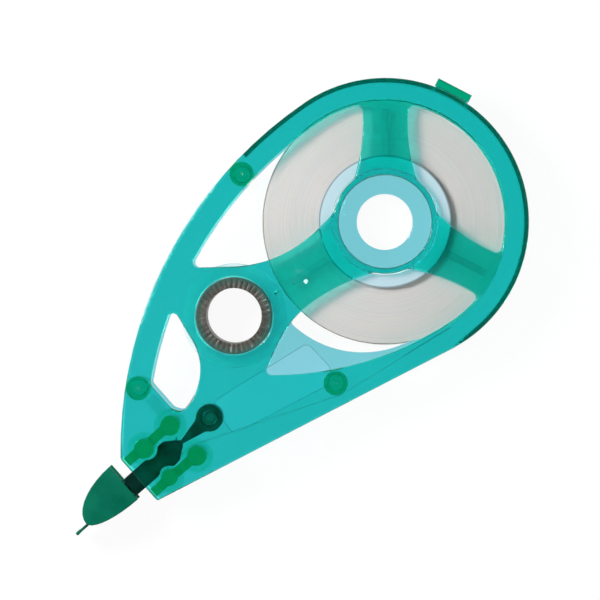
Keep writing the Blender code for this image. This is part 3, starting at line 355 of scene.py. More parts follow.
# Meshes


def new_piece(name, verts, faces, origin=(0.0, 0.0, 0.0)):
    """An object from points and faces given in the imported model's place."""
    mesh = bpy.data.meshes.new(name)
    start = Vector(origin)
    mesh.from_pydata([Vector(vert) - start for vert in verts], [], faces)
    piece = bpy.data.objects.new(name, mesh)
    piece.location = origin
    bpy.context.scene.collection.objects.link(piece)
    return piece


def finished_mesh(name, work, place=Vector((0.0, 0.0, 0.0)), keep_rough=False):
    """An object from a bmesh whose points lie about an upright axis."""
    mesh = bpy.data.meshes.new(name)
    work.to_mesh(mesh)
    work.free()
    piece = bpy.data.objects.new(name, mesh)
    piece.location = (place.x, place.y, 0.0)
    bpy.context.scene.collection.objects.link(piece)
    if not keep_rough:
        shaded(piece)
    return piece


def moulded_plate(name, loops, low, high, round_low, round_high, steps=3):
    """A flat plate with rounded edges, from outlines run with the plastic on their left."""
    turns = [math.radians(90.0 * step / steps) for step in range(steps + 1)]
    work = bmesh.new()
    rims = ([], [])
    for points in loops:
        share = min(1.0, perimeter(points) / FULL_ROUND_EDGE)
        under = round_low * share
        over = round_high * share
        levels = [(low, 0.0)]
        if under:
            levels = [(low + under * (1 - math.cos(turn)), under * (1 - math.sin(turn))) for turn in turns]
        if over:
            levels += [(high - over * (1 - math.sin(turn)), over * (1 - math.cos(turn))) for turn in turns]
        else:
            levels.append((high, 0.0))
        rings = []
        for height, depth in levels:
            rings.append([work.verts.new((point.x, point.y, height)) for point in inset(points, depth)])
        for lower, upper in zip(rings, rings[1:]):
            for index in range(len(points)):
                work.faces.new((lower[index - 1], lower[index], upper[index], upper[index - 1]))
        for rim, ring in zip(rims, (rings[0], rings[-1])):
            rim.extend(work.edges.get((ring[index - 1], ring[index])) for index in range(len(ring)))
    for rim, side in zip(rims, (-1.0, 1.0)):
        bmesh.ops.triangle_fill(work, use_beauty=True, edges=rim, normal=(0.0, 0.0, side))
    bmesh.ops.recalc_face_normals(work, faces=work.faces)
    if any(len(edge.link_faces) != 2 for edge in work.edges):
        raise ValueError("%s isn't closed" % name)
    return finished_mesh(name, work, keep_rough=True)


def applied(piece):
    """Make a piece's modifiers part of its mesh."""
    bpy.context.view_layer.update()
    evaluated = piece.evaluated_get(bpy.context.evaluated_depsgraph_get())
    mesh = bpy.data.meshes.new_from_object(evaluated)
    old = piece.data
    piece.modifiers.clear()
    piece.data = mesh
    bpy.data.meshes.remove(old)


def combined(piece, tools, operation):
    """Add features to a piece, or cut them out of it."""
    for tool in tools:
        boolean = piece.modifiers.new(tool.name, "BOOLEAN")
        boolean.operation = operation
        boolean.solver = "EXACT"
        boolean.object = tool
    applied(piece)
    for tool in tools:
        bpy.data.objects.remove(tool, do_unlink=True)


def shaded(piece, crisp=()):
    """Smooth shading that keeps flat faces flat and sharp edges sharp, and all edges in the crisp circles."""
    piece.data.shade_smooth()
    piece.data.set_sharp_from_angle(angle=math.radians(SHARP_ANGLE))
    for edge in piece.data.edges:
        one, other = (piece.data.vertices[index].co.xy for index in edge.vertices)
        if any(((one + other) / 2 - place).length < reach for place, reach in crisp):
            edge.use_edge_sharp = True
    weighted = piece.modifiers.new("flat faces", "WEIGHTED_NORMAL")
    weighted.keep_sharp = True
    weighted.weight = 80
    applied(piece)


def softened(corners, soft, closed):
    """A turned profile with its corners rounded."""
    points = []
    for index, corner in enumerate(corners):
        if not soft or (not closed and index in (0, len(corners) - 1)):
            points.append(corner)
            continue
        before = corners[index - 1] - corner
        after = corners[(index + 1) % len(corners)] - corner
        reach = min(soft, 0.4 * before.length, 0.4 * after.length)
        start = corner + before.normalized() * reach
        end = corner + after.normalized() * reach
        for part in (0.0, 0.25, 0.5, 0.75, 1.0):
            points.append(start * (1 - part) ** 2 + corner * (2 * part * (1 - part)) + end * part ** 2)
    return points


def turned_piece(name, place, corners, soft, closed=False, steps=TURNED_STEPS):
    """A piece turned about an upright axis, from its profile of radii and heights."""
    profile = softened([Vector(corner) for corner in corners], soft, closed)
    work = bmesh.new()
    rows = []
    for radius, height in profile:
        if radius < WELD:
            rows.append([work.verts.new((0.0, 0.0, height))] * steps)
            continue
        row = []
        for step in range(steps):
            turned = polar(radius, 360.0 * step / steps)
            row.append(work.verts.new((turned.x, turned.y, height)))
        rows.append(row)
    pairs = list(zip(rows, rows[1:]))
    if closed:
        pairs.append((rows[-1], rows[0]))
    for upper, lower in pairs:
        for step in range(steps):
            ring = (upper[step - 1], lower[step - 1], lower[step], upper[step])
            work.faces.new(tuple(dict.fromkeys(ring)))
    bmesh.ops.recalc_face_normals(work, faces=work.faces)
    return finished_mesh(name, work, place)


def tube_corners(inner, outer, low, high):
    return [(outer, high), (outer, low), (inner, low), (inner, high)]


def wound_body(name, place, inner, outer, low, high, pitch, relief):
    """Wound tape: one ridge and one groove for each turn, which run outwards as a spiral."""
    steps = 120
    rows = 2 * round((outer - inner) / pitch) - 2
    work = bmesh.new()
    sheets = []
    for side, edge in ((1, high), (-1, low)):
        grid = {}
        for row in range(rows + 3):
            for step in range(steps if row <= rows else 1):
                radius = inner + pitch * (row / 2 + step / steps)
                spot = polar(radius, 360.0 * step / steps)
                wander = noise.noise(Vector((radius / MM * 1.7, step / steps * 3.0, side)))
                sink = relief * (0.8 + 0.5 * wander) if row % 2 == 0 else relief * (0.3 + 0.3 * wander)
                grid[row, step] = work.verts.new((spot.x, spot.y, edge - side * max(sink, 0.0)))
        for row in range(rows):
            for step in range(steps):
                ahead = step + 1
                if ahead < steps:
                    ring = (grid[row, step], grid[row + 1, step], grid[row + 1, ahead], grid[row, ahead])
                else:
                    ring = (grid[row, step], grid[row + 1, step], grid[row + 3, 0], grid[row + 2, 0])
                work.faces.new(ring)
        sheets.append(grid)
    for first in (0, rows):
        path = [(first, step) for step in range(steps)] + [(first + 2, 0), (first + 1, 0)]
        for index, key in enumerate(path):
            before = path[index - 1]
            work.faces.new((sheets[0][before], sheets[0][key], sheets[1][key], sheets[1][before]))
    bmesh.ops.recalc_face_normals(work, faces=work.faces)
    return finished_mesh(name, work, place)


def ribbon(name, line, thickness, shift, low, high, origin=(0.0, 0.0, 0.0)):
    """A ribbon on edge along a line, moved to the line's left by shift."""
    verts = []
    for index, point in enumerate(line):
        before = line[max(index - 1, 0)]
        after = line[min(index + 1, len(line) - 1)]
        across = left_of((after - before).normalized())
        for offset, height in ((-1, low), (1, low), (1, high), (-1, high)):
            spot = point + across * (shift + offset * thickness / 2)
            verts.append((spot.x, spot.y, height))
    faces = [(3, 2, 1, 0)]
    for index in range(len(line) - 1):
        base = 4 * index
        for side in range(4):
            turn = (side + 1) % 4
            faces.append((base + side, base + turn, base + 4 + turn, base + 4 + side))
    base = 4 * (len(line) - 1)
    faces.append((base, base + 1, base + 2, base + 3))
    piece = new_piece(name, verts, faces, origin)
    shaded(piece)
    return piece


def ribbon_line(node):
    """The middle line of a node that is a ribbon on edge."""
    points = face_loops(node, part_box(node)[1].z, 1)[0]
    count = len(points)
    lengths = [(points[(index + 1) % count] - points[index]).length for index in range(count)]
    ends = sorted(sorted(range(count), key=lambda index: abs(lengths[index] - TAPE))[:2])
    one_side = points[ends[0] + 1:ends[1] + 1]
    other_side = (points[ends[1] + 1:] + points[:ends[0] + 1])[::-1]
    line = [(a + b) / 2 for a, b in zip(one_side, other_side)]
    return finer(line, closed=False)


def eased_copy(node, name, width):
    """A copy of a node's solid with its sharp edges rounded."""
    piece = bpy.data.objects.new(name, frame["nodes"][node].data.copy())
    bpy.context.scene.collection.objects.link(piece)
    weld = piece.modifiers.new("weld", "WELD")
    weld.merge_threshold = WELD
    flat = piece.modifiers.new("flat", "DECIMATE")
    flat.decimate_type = "DISSOLVE"
    flat.angle_limit = math.radians(0.5)
    edge = piece.modifiers.new("edge", "BEVEL")
    edge.width = width
    edge.segments = 3
    edge.limit_method = "ANGLE"
    edge.angle_limit = math.radians(32.0)
    edge.use_clamp_overlap = False
    edge.miter_outer = "MITER_ARC"
    applied(piece)
    shaded(piece)
    return piece


def placed(piece, body, material, nodes=()):
    """Finish a piece and let it ride on its body."""
    piece.data.materials.clear()
    piece.data.materials.append(material)
    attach(piece, body)
    if nodes:
        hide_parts(*nodes)
    return piece


# Finishes


class Finish:
    """A material with its node tree, and short ways to add nodes to it."""

    def __init__(self, name):
        self.material = bpy.data.materials.new(name)
        self.material.use_nodes = True
        self.nodes = self.material.node_tree.nodes
        self.links = self.material.node_tree.links
        self.shader = self.nodes["Principled BSDF"]
        self.output = self.nodes["Material Output"]

    def node(self, kind, **values):
        node = self.nodes.new(kind)
        for key, value in values.items():
            setattr(node, key, value)
        return node

    def link(self, source, target):
        self.links.new(source, target)

    def place(self):
        return self.node("ShaderNodeTexCoord").outputs["Object"]

    def noise(self, scale, detail=3.0, roughness=0.55, source=None):
        texture = self.node("ShaderNodeTexNoise")
        texture.inputs["Scale"].default_value = scale
        texture.inputs["Detail"].default_value = detail
        texture.inputs["Roughness"].default_value = roughness
        self.link(source or self.place(), texture.inputs["Vector"])
        return texture.outputs["Fac"]

    def radius(self):
        """Distance from the piece's upright axis."""
        flat = self.node("ShaderNodeVectorMath", operation="MULTIPLY")
        flat.inputs[1].default_value = (1.0, 1.0, 0.0)
        self.link(self.place(), flat.inputs[0])
        length = self.node("ShaderNodeVectorMath", operation="LENGTH")
        self.link(flat.outputs["Vector"], length.inputs[0])
        return length.outputs["Value"]

    def length_way(self, low, high, start, end):
        """A value that rises on the way from the nose to the round end."""
        split = self.node("ShaderNodeSeparateXYZ")
        self.link(self.place(), split.inputs["Vector"])
        return self.spread(split.outputs["X"], low, high, start, end)

    def rings(self, scale, detail):
        """Uneven rings round the piece's upright axis."""
        texture = self.node("ShaderNodeTexNoise", noise_dimensions="1D")
        texture.inputs["Scale"].default_value = scale
        texture.inputs["Detail"].default_value = detail
        self.link(self.radius(), texture.inputs["W"])
        return texture.outputs["Fac"]

    def ramp(self, factor, stops):
        ramp = self.node("ShaderNodeValToRGB")
        while len(ramp.color_ramp.elements) < len(stops):
            ramp.color_ramp.elements.new(0.5)
        for element, (position, colour) in zip(ramp.color_ramp.elements, stops):
            element.position = position
            element.color = (*colour, 1.0)
        self.link(factor, ramp.inputs["Fac"])
        return ramp.outputs["Color"]

    def spread(self, factor, low, high, start=0.3, end=0.7):
        spread = self.node("ShaderNodeMapRange")
        spread.inputs["From Min"].default_value = start
        spread.inputs["From Max"].default_value = end
        spread.inputs["To Min"].default_value = low
        spread.inputs["To Max"].default_value = high
        self.link(factor, spread.inputs["Value"])
        return spread.outputs["Result"]

    def mixed(self, factor, one, other, blend="MIX"):
        mix = self.node("ShaderNodeMix", data_type="RGBA", blend_type=blend)
        self.link(factor, mix.inputs["Factor"])
        self.link(one, mix.inputs[6])
        self.link(other, mix.inputs[7])
        return mix.outputs[2]

    def bump(self, factor, strength, distance):
        bump = self.node("ShaderNodeBump")
        bump.inputs["Strength"].default_value = strength
        bump.inputs["Distance"].default_value = distance
        self.link(factor, bump.inputs["Height"])
        self.link(bump.outputs["Normal"], self.shader.inputs["Normal"])

    def set(self, **values):
        for key, value in values.items():
            self.shader.inputs[key.replace("_", " ")].default_value = value


def shade(colour, factor):
    return tuple(min(1.0, channel * factor) for channel in colour)


def clear_plastic(name, face, tint, density, gloss, bend=1.49, shaded_far_face=None, clear=1.0):
    """Clear moulded plastic, coloured mostly by the depth that light passes through; with a shaded far face
    its faces also carry painted shade that deepens toward the round end.
    """
    finish = Finish(name)
    finish.set(Transmission_Weight=clear, IOR=bend, Metallic=0.0)
    flow = finish.noise(140.0, 2.0)
    # with a shaded far face, the face colour turns a deeper green toward the round end: painted shade
    uneven = finish.length_way(0.3, 0.7, CAD_BOX[0].x, CAD_BOX[1].x) if shaded_far_face else flow
    tone = finish.ramp(uneven, [(0.3, face), (0.7, shaded_far_face or shade(face, 0.98))])
    finish.link(tone, finish.shader.inputs["Base Color"])
    finish.link(finish.spread(flow, gloss * 0.6, gloss * 1.5), finish.shader.inputs["Roughness"])
    finish.bump(finish.noise(420.0, 2.0), 0.06, 0.02 * MM)
    absorption = finish.node("ShaderNodeVolumeAbsorption")
    absorption.inputs["Color"].default_value = (*tint, 1.0)
    absorption.inputs["Density"].default_value = density
    finish.link(absorption.outputs["Volume"], finish.output.inputs["Volume"])
    rays = finish.node("ShaderNodeLightPath")
    open_way = finish.node("ShaderNodeBsdfTransparent")
    open_way.inputs["Color"].default_value = (1.0, 0.62, 0.69, 1.0)
    either = finish.node("ShaderNodeMixShader")
    finish.link(rays.outputs["Is Shadow Ray"], either.inputs["Fac"])
    finish.link(finish.shader.outputs["BSDF"], either.inputs[1])
    finish.link(open_way.outputs["BSDF"], either.inputs[2])
    finish.link(either.outputs["Shader"], finish.output.inputs["Surface"])
    return finish.material


def satin_plastic(name, colour, roughness, grain, dark=0.8, pale=1.18, bare=None):
    """Moulded plastic with a fine sparked grain and slightly uneven colour; on the nose side of the x given
    as bare it carries painted shade.
    """
    finish = Finish(name)
    finish.set(Specular_IOR_Level=0.2)
    cloud = finish.noise(260.0, 4.0)
    tone = finish.ramp(cloud, [(0.3, shade(colour, dark)), (0.7, shade(colour, pale))])
    if bare is not None:
        # painted shade: a darker copy of the colour where the stem stands clear of the frame
        painted_shade_tones = (shade(colour, dark * BARE_PAINTED_SHADE), shade(colour, pale * BARE_PAINTED_SHADE))
        deep = finish.ramp(cloud, [(0.3, painted_shade_tones[0]), (0.7, painted_shade_tones[1])])
        inside = finish.length_way(0.0, 1.0, bare - BITE, bare + BITE)
        tone = finish.mixed(inside, deep, tone)
    finish.link(tone, finish.shader.inputs["Base Color"])
    finish.link(finish.spread(cloud, roughness * 0.85, roughness * 1.2), finish.shader.inputs["Roughness"])
    finish.bump(finish.noise(4200.0, 2.0), grain, 0.03 * MM)
    return finish.material


def milky_plastic(name, colour, rim):
    """Milky moulded plastic with faint turning marks, and painted shade along the outer rim where it drops to
    the tape.
    """
    finish = Finish(name)
    finish.set(Specular_IOR_Level=0.25)
    marks = finish.rings(2600.0, 2.0)
    tone = finish.ramp(marks, [(0.3, shade(colour, 0.97)), (0.7, shade(colour, 1.02))])
    # painted shade: a darker copy of the colour for the rim beside the tape, standing in for the step's
    # shadow
    drop = finish.ramp(marks, [(0.3, shade(colour, 0.4)), (0.7, shade(colour, 0.48))])
    edge = finish.spread(finish.radius(), 0.0, 1.0, rim - CORE_SHADE_BAND, rim - CORE_SHADE_BAND / 3)
    finish.link(finish.mixed(edge, tone, drop), finish.shader.inputs["Base Color"])
    finish.link(finish.spread(finish.noise(300.0), 0.4, 0.55), finish.shader.inputs["Roughness"])
    finish.bump(marks, 0.08, 0.02 * MM)
    return finish.material


def wound_tape(name, colour):
    """Edges of wound tape: fine uneven rings, with broad bands where the winding was tighter."""
    finish = Finish(name)
    lines = finish.rings(5200.0, 3.0)
    bands = finish.rings(420.0, 2.0)
    fine = finish.ramp(lines, [(0.25, shade(colour, 0.86)), (0.5, colour), (0.75, shade(colour, 1.07))])
    warm = (colour[0] * 1.03, colour[1] * 0.985, colour[2] * 0.95)
    cool = (colour[0] * 0.95, colour[1] * 0.97, colour[2] * 0.985)
    broad = finish.ramp(bands, [(0.3, cool), (0.7, warm)])
    cloud = finish.spread(finish.noise(90.0, 2.0), 0.35, 0.65)
    finish.link(finish.mixed(cloud, fine, broad), finish.shader.inputs["Base Color"])
    finish.link(finish.spread(lines, 0.55, 0.8), finish.shader.inputs["Roughness"])
    finish.bump(lines, 0.25, 0.03 * MM)
    return finish.material


def thin_film(name, colour, roughness, clear):
    """Film or coating drawn over guides, with faint lines along its length."""
    finish = Finish(name)
    finish.set(Transmission_Weight=clear, IOR=1.0)
    stretch = finish.node("ShaderNodeMapping")
    stretch.inputs["Scale"].default_value = (1.0, 1.0, 14.0)
    finish.link(finish.place(), stretch.inputs["Vector"])
    lines = finish.noise(280.0, 3.0, source=stretch.outputs["Vector"])
    tone = finish.ramp(lines, [(0.3, shade(colour, 0.96)), (0.7, shade(colour, 1.04))])
    finish.link(tone, finish.shader.inputs["Base Color"])
    finish.link(finish.spread(lines, roughness * 0.8, roughness * 1.2), finish.shader.inputs["Roughness"])
    finish.bump(lines, 0.1, 0.02 * MM)
    return finish.material


def mottled_plastic(name, colour, gap_shade_colour):
    """Brown-grey plastic with dark specks and pale flecks, the palest of them painted glints, and painted
    shade in a dark green band towards its edge.
    """
    finish = Finish(name)
    flecks_and_glints = finish.noise(1100.0, 4.0, 0.65)
    # the palest stop, far above the plastic's own colour, is painted glints; the rest is the plastic's
    # mottled tone
    tone = finish.ramp(flecks_and_glints, [(0.3, shade(colour, 0.4)), (0.47, colour), (0.6, shade(colour, 1.2)),
                               (0.76, shade(colour, 3.4))])
    # painted shade: the dark green of the shadowed gap between the ring and the clear plate
    green = finish.ramp(flecks_and_glints, [(0.3, shade(gap_shade_colour, 0.8)), (0.7, shade(gap_shade_colour, 1.2))])
    edge = finish.spread(finish.radius(), 0.0, 1.0, 4.7 * MM, 5.6 * MM)
    finish.link(finish.mixed(edge, tone, green), finish.shader.inputs["Base Color"])
    finish.link(finish.spread(flecks_and_glints, 0.55, 0.28), finish.shader.inputs["Roughness"])
    finish.bump(flecks_and_glints, 0.3, 0.05 * MM)
    return finish.material


# Frame halves


def latch_loop(inner, outer, margin):
    center = HUB.xy + polar((inner + outer) / 2, LATCH_ANGLE)
    return bar_loop(center, LATCH_ANGLE - 90.0, LATCH_LENGTH + 2 * margin, (outer - inner) / 2)


def is_round_hub(loop):
    return (middle(loop) - HUB.xy).length < MM


def round_reach(loop):
    return perimeter(loop) / (2 * math.pi)


def dished_marks(loops):
    """Cutters for the moulding marks: round dishes with sloping sides that catch the light."""
    cutters = []
    for loop in loops:
        reach = round_reach(loop)
        gate = PIN_MARK_R < reach < GATE_R
        slope = math.tan(math.radians(GATE_SLOPE if gate else MARK_SLOPE))
        depth = min(GATE_DEPTH if gate else MARK_DEPTH, reach * slope)
        corners = [(0.0, THICKNESS + BITE), (reach, THICKNESS + BITE), (reach, THICKNESS)]
        if depth < reach * slope:
            corners.append((reach - depth / slope, THICKNESS - depth))
        corners.append((0.0, THICKNESS - depth))
        cutters.append(turned_piece("mark", middle(loop), corners, 0.0))
    return cutters


def front_half(soft):
    mark_low = THICKNESS - MARK_DEPTH
    marks = [loop for loop in face_loops("front_frame", mark_low, 1) if round_reach(loop) < MARK_R]
    through = [finer(loop) for loop in face_loops("front_frame", THICKNESS, 1) if not is_among(loop, marks)]
    plate = moulded_plate("front_half", through, INNER_HIGH, THICKNESS, soft, soft)
    arm_in = LATCH_OUT_R - LATCH_ARM
    arm = latch_loop(arm_in, LATCH_OUT_R, 0.0)
    features = [moulded_plate("latch_arm", [arm], LATCH_FOOT, THICKNESS - FIT_GAP, soft, soft)]
    bridge = latch_loop(END_R - LATCH_HOOK, LATCH_OUT_R - BITE, -BITE)
    bridge_top = THICKNESS - FIT_GAP - WALL_SINK
    features.append(moulded_plate("latch_bridge", [bridge], INNER_HIGH + WALL_SINK, bridge_top, 0.0, 0.0))
    hook = latch_loop(arm_in - LATCH_HOOK, arm_in + BITE, -BITE)
    features.append(moulded_plate("latch_hook", [hook], LATCH_FOOT + FIT_GAP, LATCH_HOOK_TOP, soft, soft))
    combined(plate, features, "UNION")
    combined(plate, dished_marks(marks), "DIFFERENCE")
    shaded(plate, [(middle(loop), round_reach(loop) + LEVEL) for loop in marks])
    return plate


def spoke_ribs():
    """The ribs under the spokes."""
    low = INNER_HIGH - SPOKE_RIB_DEPTH
    ribs = []
    for loop in face_loops("front_frame", low, -1):
        rib = moulded_plate("spoke_rib", [loop], low, INNER_HIGH + WALL_SINK, WALL_ROUND, 0.0)
        shaded(rib)
        ribs.append(rib)
    return ribs


def rear_half(soft):
    recess = face_loops("rear_frame", RECESS_DEPTH, -1)
    through = [finer(loop) for loop in face_loops("rear_frame", 0.0, -1) if not is_among(loop, recess)]
    plate = moulded_plate("rear_half", through, 0.0, PLATE, soft, soft)
    ribs = []
    for loop in face_loops("rear_frame", NOSE_RIB_TOP, 1):
        ribs.append(moulded_plate("nose_rib", [loop], PLATE - BITE, NOSE_RIB_TOP, 0.0, soft))
    combined(plate, ribs, "UNION")
    panel = [finer(loop) for loop in recess]
    combined(plate, [moulded_plate("recess", panel, -BITE, RECESS_DEPTH, 0.0, RECESS_ROUND)], "DIFFERENCE")
    shaded(plate)
    return plate


def upright_wall(name, wanted):
    """A wall that stands on the rear half, from the outlines that are wanted."""
    loops = [finer(loop) for loop in face_loops("rear_frame", WALL_TOP, 1) if wanted(loop)]
    return moulded_plate(name, loops, PLATE - WALL_SINK, WALL_TOP, 0.0, WALL_ROUND)


def perimeter_wall():
    """The wall round the rim, with the slot that the latch snaps into."""
    wall = upright_wall("perimeter_wall", lambda loop: not is_round_hub(loop))
    slot = latch_loop(WALL_IN_R - MM, LATCH_OUT_R, RUN_GAP)
    slot_top = LATCH_HOOK_TOP + RUN_GAP
    cutter = moulded_plate("latch_slot", [slot], LATCH_FOOT - RUN_GAP, slot_top, 0.0, 0.0)
    combined(wall, [cutter], "DIFFERENCE")
    shaded(wall)
    return wall


def hub_sleeve():
    """The sleeve that the supply core turns on."""
    sleeve = upright_wall("hub_sleeve", is_round_hub)
    shaded(sleeve)
    return sleeve


def guide_walls():
    """The walls beside the stem that run on from post to post, up to the front face."""
    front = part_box("rear_frame")[0].x
    walls = []
    for loop in face_loops("rear_frame", WEB_TOP, 1):
        low = Vector((min(point.x for point in loop), min(point.y for point in loop)))
        high = Vector((max(point.x for point in loop), max(point.y for point in loop)))
        if low.x > front + MM:
            low.x -= GUIDE_WALL_REACH
        high.x += GUIDE_WALL_REACH
        if low.y > TWIST.y:
            high.y += GUIDE_WALL_SPREAD
        else:
            low.y -= GUIDE_WALL_SPREAD
        spread = bar_loop((low + high) / 2, 0.0, high.x - low.x, (high.y - low.y) / 2)
        wall = moulded_plate("guide_wall", [spread], PLATE - WALL_SINK, WEB_TOP, 0.0, WALL_ROUND)
        shaded(wall)
        walls.append(wall)
    return walls


class CASSETTE_OT_frame_halves(bpy.types.Operator):
    """Make the two clear teal halves of the frame"""

    bl_idname = "cassette.frame_halves"
    bl_label = "Frame halves"
    bl_options = {"REGISTER", "UNDO"}

    def execute(self, context):
        colours = context.scene.cassette_colours
        soft = context.scene.cassette_sizes.edge_round
        front = clear_plastic("clear_teal_front", colours.front_face, colours.front_teal, 1600.0, 0.07,
                              shaded_far_face=colours.round_end_shaded_face)
        placed(front_half(soft), "frame", front, ["front_frame"])
        rear = clear_plastic("clear_teal_rear", colours.rear_face, colours.rear_teal, 1600.0, 0.07)
        placed(rear_half(soft), "frame", rear, ["rear_frame"])
        wall = clear_plastic("clear_teal_wall", colours.wall_face, colours.wall_teal, 1600.0, 0.07)
        placed(perimeter_wall(), "frame", wall)
        thin = clear_plastic("clear_teal_thin", colours.clear_face, colours.rear_teal, 90.0, 0.07, 1.2)
        for piece in (hub_sleeve(), *spoke_ribs()):
            placed(piece, "frame", thin)
        return {"FINISHED"}


# Pins and posts


def pin_corners(reach):
    """A pin with a blind bore in its foot."""
    bore = PIN_BORE_SHARE * reach
    bore_top = SHOULDER_LOW + PIN_BORE_DEPTH
    return [(0.0, SHOULDER_HIGH), (reach, SHOULDER_HIGH), (reach, SHOULDER_LOW), (bore, SHOULDER_LOW),
            (bore, bore_top), (0.0, bore_top)]


def post_corners(collar):
    body = collar - COLLAR_REACH
    return [(0.0, SHOULDER_HIGH), (body, SHOULDER_HIGH), (body, SHOULDER_LOW), (0.0, SHOULDER_LOW)]


def collar_corners(collar):
    return tube_corners(collar - COLLAR_REACH + WALL_SINK, collar, SHOULDER_HIGH - COLLAR, SHOULDER_HIGH)


class CASSETTE_OT_pins_and_posts(bpy.types.Operator):
    """Make the joining pins, the guide posts and the anchor pin"""

    bl_idname = "cassette.pins_and_posts"
    bl_label = "Pins and posts"
    bl_options = {"REGISTER", "UNDO"}

    def execute(self, context):
        colours = context.scene.cassette_colours
        soft = context.scene.cassette_sizes.pin_round
        green = clear_plastic("clear_pin_green", colours.clear_face, colours.pin_green, 900.0, 0.06)
        leaf = clear_plastic("clear_post_green", colours.clear_face, colours.post_green, 900.0, 0.06)
        deep = clear_plastic("clear_anchor_green", colours.clear_face, colours.anchor_green, 900.0, 0.1)
        pale = clear_plastic("clear_collar_green", colours.clear_face, colours.post_green, 3000.0, 0.06, 1.1)
        kinds = {"joining_pin": (pin_corners, green), "guide_post": (post_corners, leaf),
                 "anchor_pin": (pin_corners, deep)}
        for node in sorted(frame["nodes"]):
            for start, (profile, material) in kinds.items():
                if node.startswith(start):
                    low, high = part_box(node)
                    place = (low + high) / 2
                    reach = (high.x - low.x) / 2
                    piece = turned_piece(node + "_moulded", place, profile(reach), soft)
                    placed(piece, "frame", material, [node])
                    if profile is post_corners:
                        ring = collar_corners(reach)
                        collar = turned_piece(node + "_collar", place, ring, 0.0, closed=True)
                        placed(collar, "frame", pale)
        for wall in guide_walls():
            placed(wall, "frame", leaf)
        return {"FINISHED"}


# Reels


class CASSETTE_OT_supply_core(bpy.types.Operator):
    """Make the pale core that the tape is wound on"""

    bl_idname = "cassette.supply_core"
    bl_label = "Supply core"
    bl_options = {"REGISTER", "UNDO"}

    def execute(self, context):
        low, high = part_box("supply_core")
        reach = (high.x - low.x) / 2
        corners = tube_corners(reach - CORE_WALL, reach, low.z, high.z)
        core = turned_piece("supply_core_moulded", HUB, corners, CORE_ROUND, closed=True, steps=120)
        milky = milky_plastic("milky_blue", context.scene.cassette_colours.core, reach)
        placed(core, "supply", milky, ["supply_core"])
        return {"FINISHED"}


class CASSETTE_OT_supply_roll(bpy.types.Operator):
    """Wind the supply of correction tape, with its loose outer turn"""

    bl_idname = "cassette.supply_roll"
    bl_label = "Supply roll"
    bl_options = {"REGISTER", "UNDO"}

    def execute(self, context):
        sizes = context.scene.cassette_sizes
        tape = wound_tape("wound_tape", context.scene.cassette_colours.tape)
        roll = wound_body("supply_roll_wound", HUB, ROLL_IN_R, ROLL_WOUND_R, TAPE_LOW, TAPE_HIGH,
                          sizes.turn_pitch, sizes.turn_relief)
        placed(roll, "supply", tape, ["supply_tape_roll"])
        line = []
        for degree in range(0, OUTER_TURN_SWEEP + 1, 2):
            radius = ROLL_WOUND_R - sizes.turn_pitch * (1 - degree / 360.0) + TAPE / 2
            line.append(HUB.xy + polar(radius, degree))
        turn = ribbon("supply_roll_outer_turn", line, TAPE, 0.0, TAPE_LOW, TAPE_HIGH, (HUB.x, HUB.y, 0.0))
        placed(turn, "supply", tape, ["supply_tape_outer_turn"])
        return {"FINISHED"}


def reel_ring(sizes):
    """The take-up ring, with worn serrations round both ends for the spindle that drives it."""
    low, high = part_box("take_up_core")
    inner = (high.x - low.x) / 2 - 1.35 * MM
    outer = (high.x - low.x) / 2 + RING_SWELL
    soft = sizes.pin_round
    middle_z = (low.z + high.z) / 2
    half = (high.z - low.z) / 2
    per_tooth = 6
    steps = sizes.reel_teeth * per_tooth
    cut = (0.0, 0.0, 0.0, 0.7, 1.0, 0.7)
    section = []
    for radius, drop in ((outer, soft), (outer - soft * 0.3, soft * 0.3), (outer - soft, 0.0)):
        section.append((radius, drop, 0.0))
    for radius, share in ((outer - 0.3 * MM, 0.0), (outer - 0.38 * MM, 1.0), (inner + 0.2 * MM, 1.0)):
        section.append((radius, 0.0, share))
    for radius, drop in ((inner + soft, 0.0), (inner + soft * 0.3, soft * 0.3), (inner, soft)):
        section.append((radius, drop, 0.6))
    work = bmesh.new()
    rows = []
    for side, part in ((1, section), (-1, section[::-1])):
        for radius, drop, share in part:
            row = []
            for step in range(steps):
                spot = polar(radius, 360.0 * step / steps)
                wear = 0.55 + 0.6 * noise.noise(Vector((step // per_tooth * 0.7, side * 3.0, 0.5)))
                sunk = drop + share * cut[step % per_tooth] * max(wear, 0.0) * sizes.reel_tooth_depth
                row.append(work.verts.new((spot.x, spot.y, middle_z + side * (half - sunk))))
            rows.append(row)
    for index, row in enumerate(rows):
        before = rows[index - 1]
        for step in range(steps):
            work.faces.new((before[step - 1], row[step - 1], row[step], before[step]))
    bmesh.ops.recalc_face_normals(work, faces=work.faces)
    return finished_mesh("take_up_ring", work, REEL)


class CASSETTE_OT_take_up_reel(bpy.types.Operator):
    """Make the take-up ring, its flanges and the film wound on it"""

    bl_idname = "cassette.take_up_reel"
    bl_label = "Take-up reel"
    bl_options = {"REGISTER", "UNDO"}

    def execute(self, context):
        sizes = context.scene.cassette_sizes
        colours = context.scene.cassette_colours
        mottled = mottled_plastic("mottled_brown_grey", colours.reel, colours.reel_gap_shade)
        placed(reel_ring(sizes), "take_up", mottled, ["take_up_core"])
        pale = clear_plastic("clear_pale_flange", colours.clear_face, colours.flange, 900.0, 0.08, 1.06,
                             clear=0.92)
        for node in ("take_up_flange_front", "take_up_flange_rear"):
            low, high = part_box(node)
            corners = tube_corners(FILM_IN_R, (high.x - low.x) / 2, low.z, high.z)
            flange = turned_piece(node + "_moulded", REEL, corners, sizes.pin_round, closed=True, steps=96)
            placed(flange, "take_up", pale, [node])
        film = thin_film("wound_film", colours.film, 0.06, 1.0)
        winding = wound_body("take_up_film_wound", REEL, FILM_IN_R, FILM_WOUND_R, TAPE_LOW, TAPE_HIGH,
                             sizes.turn_pitch, sizes.turn_relief)
        placed(winding, "take_up", film, ["take_up_winding"])
        return {"FINISHED"}


# Stem, nose and tape


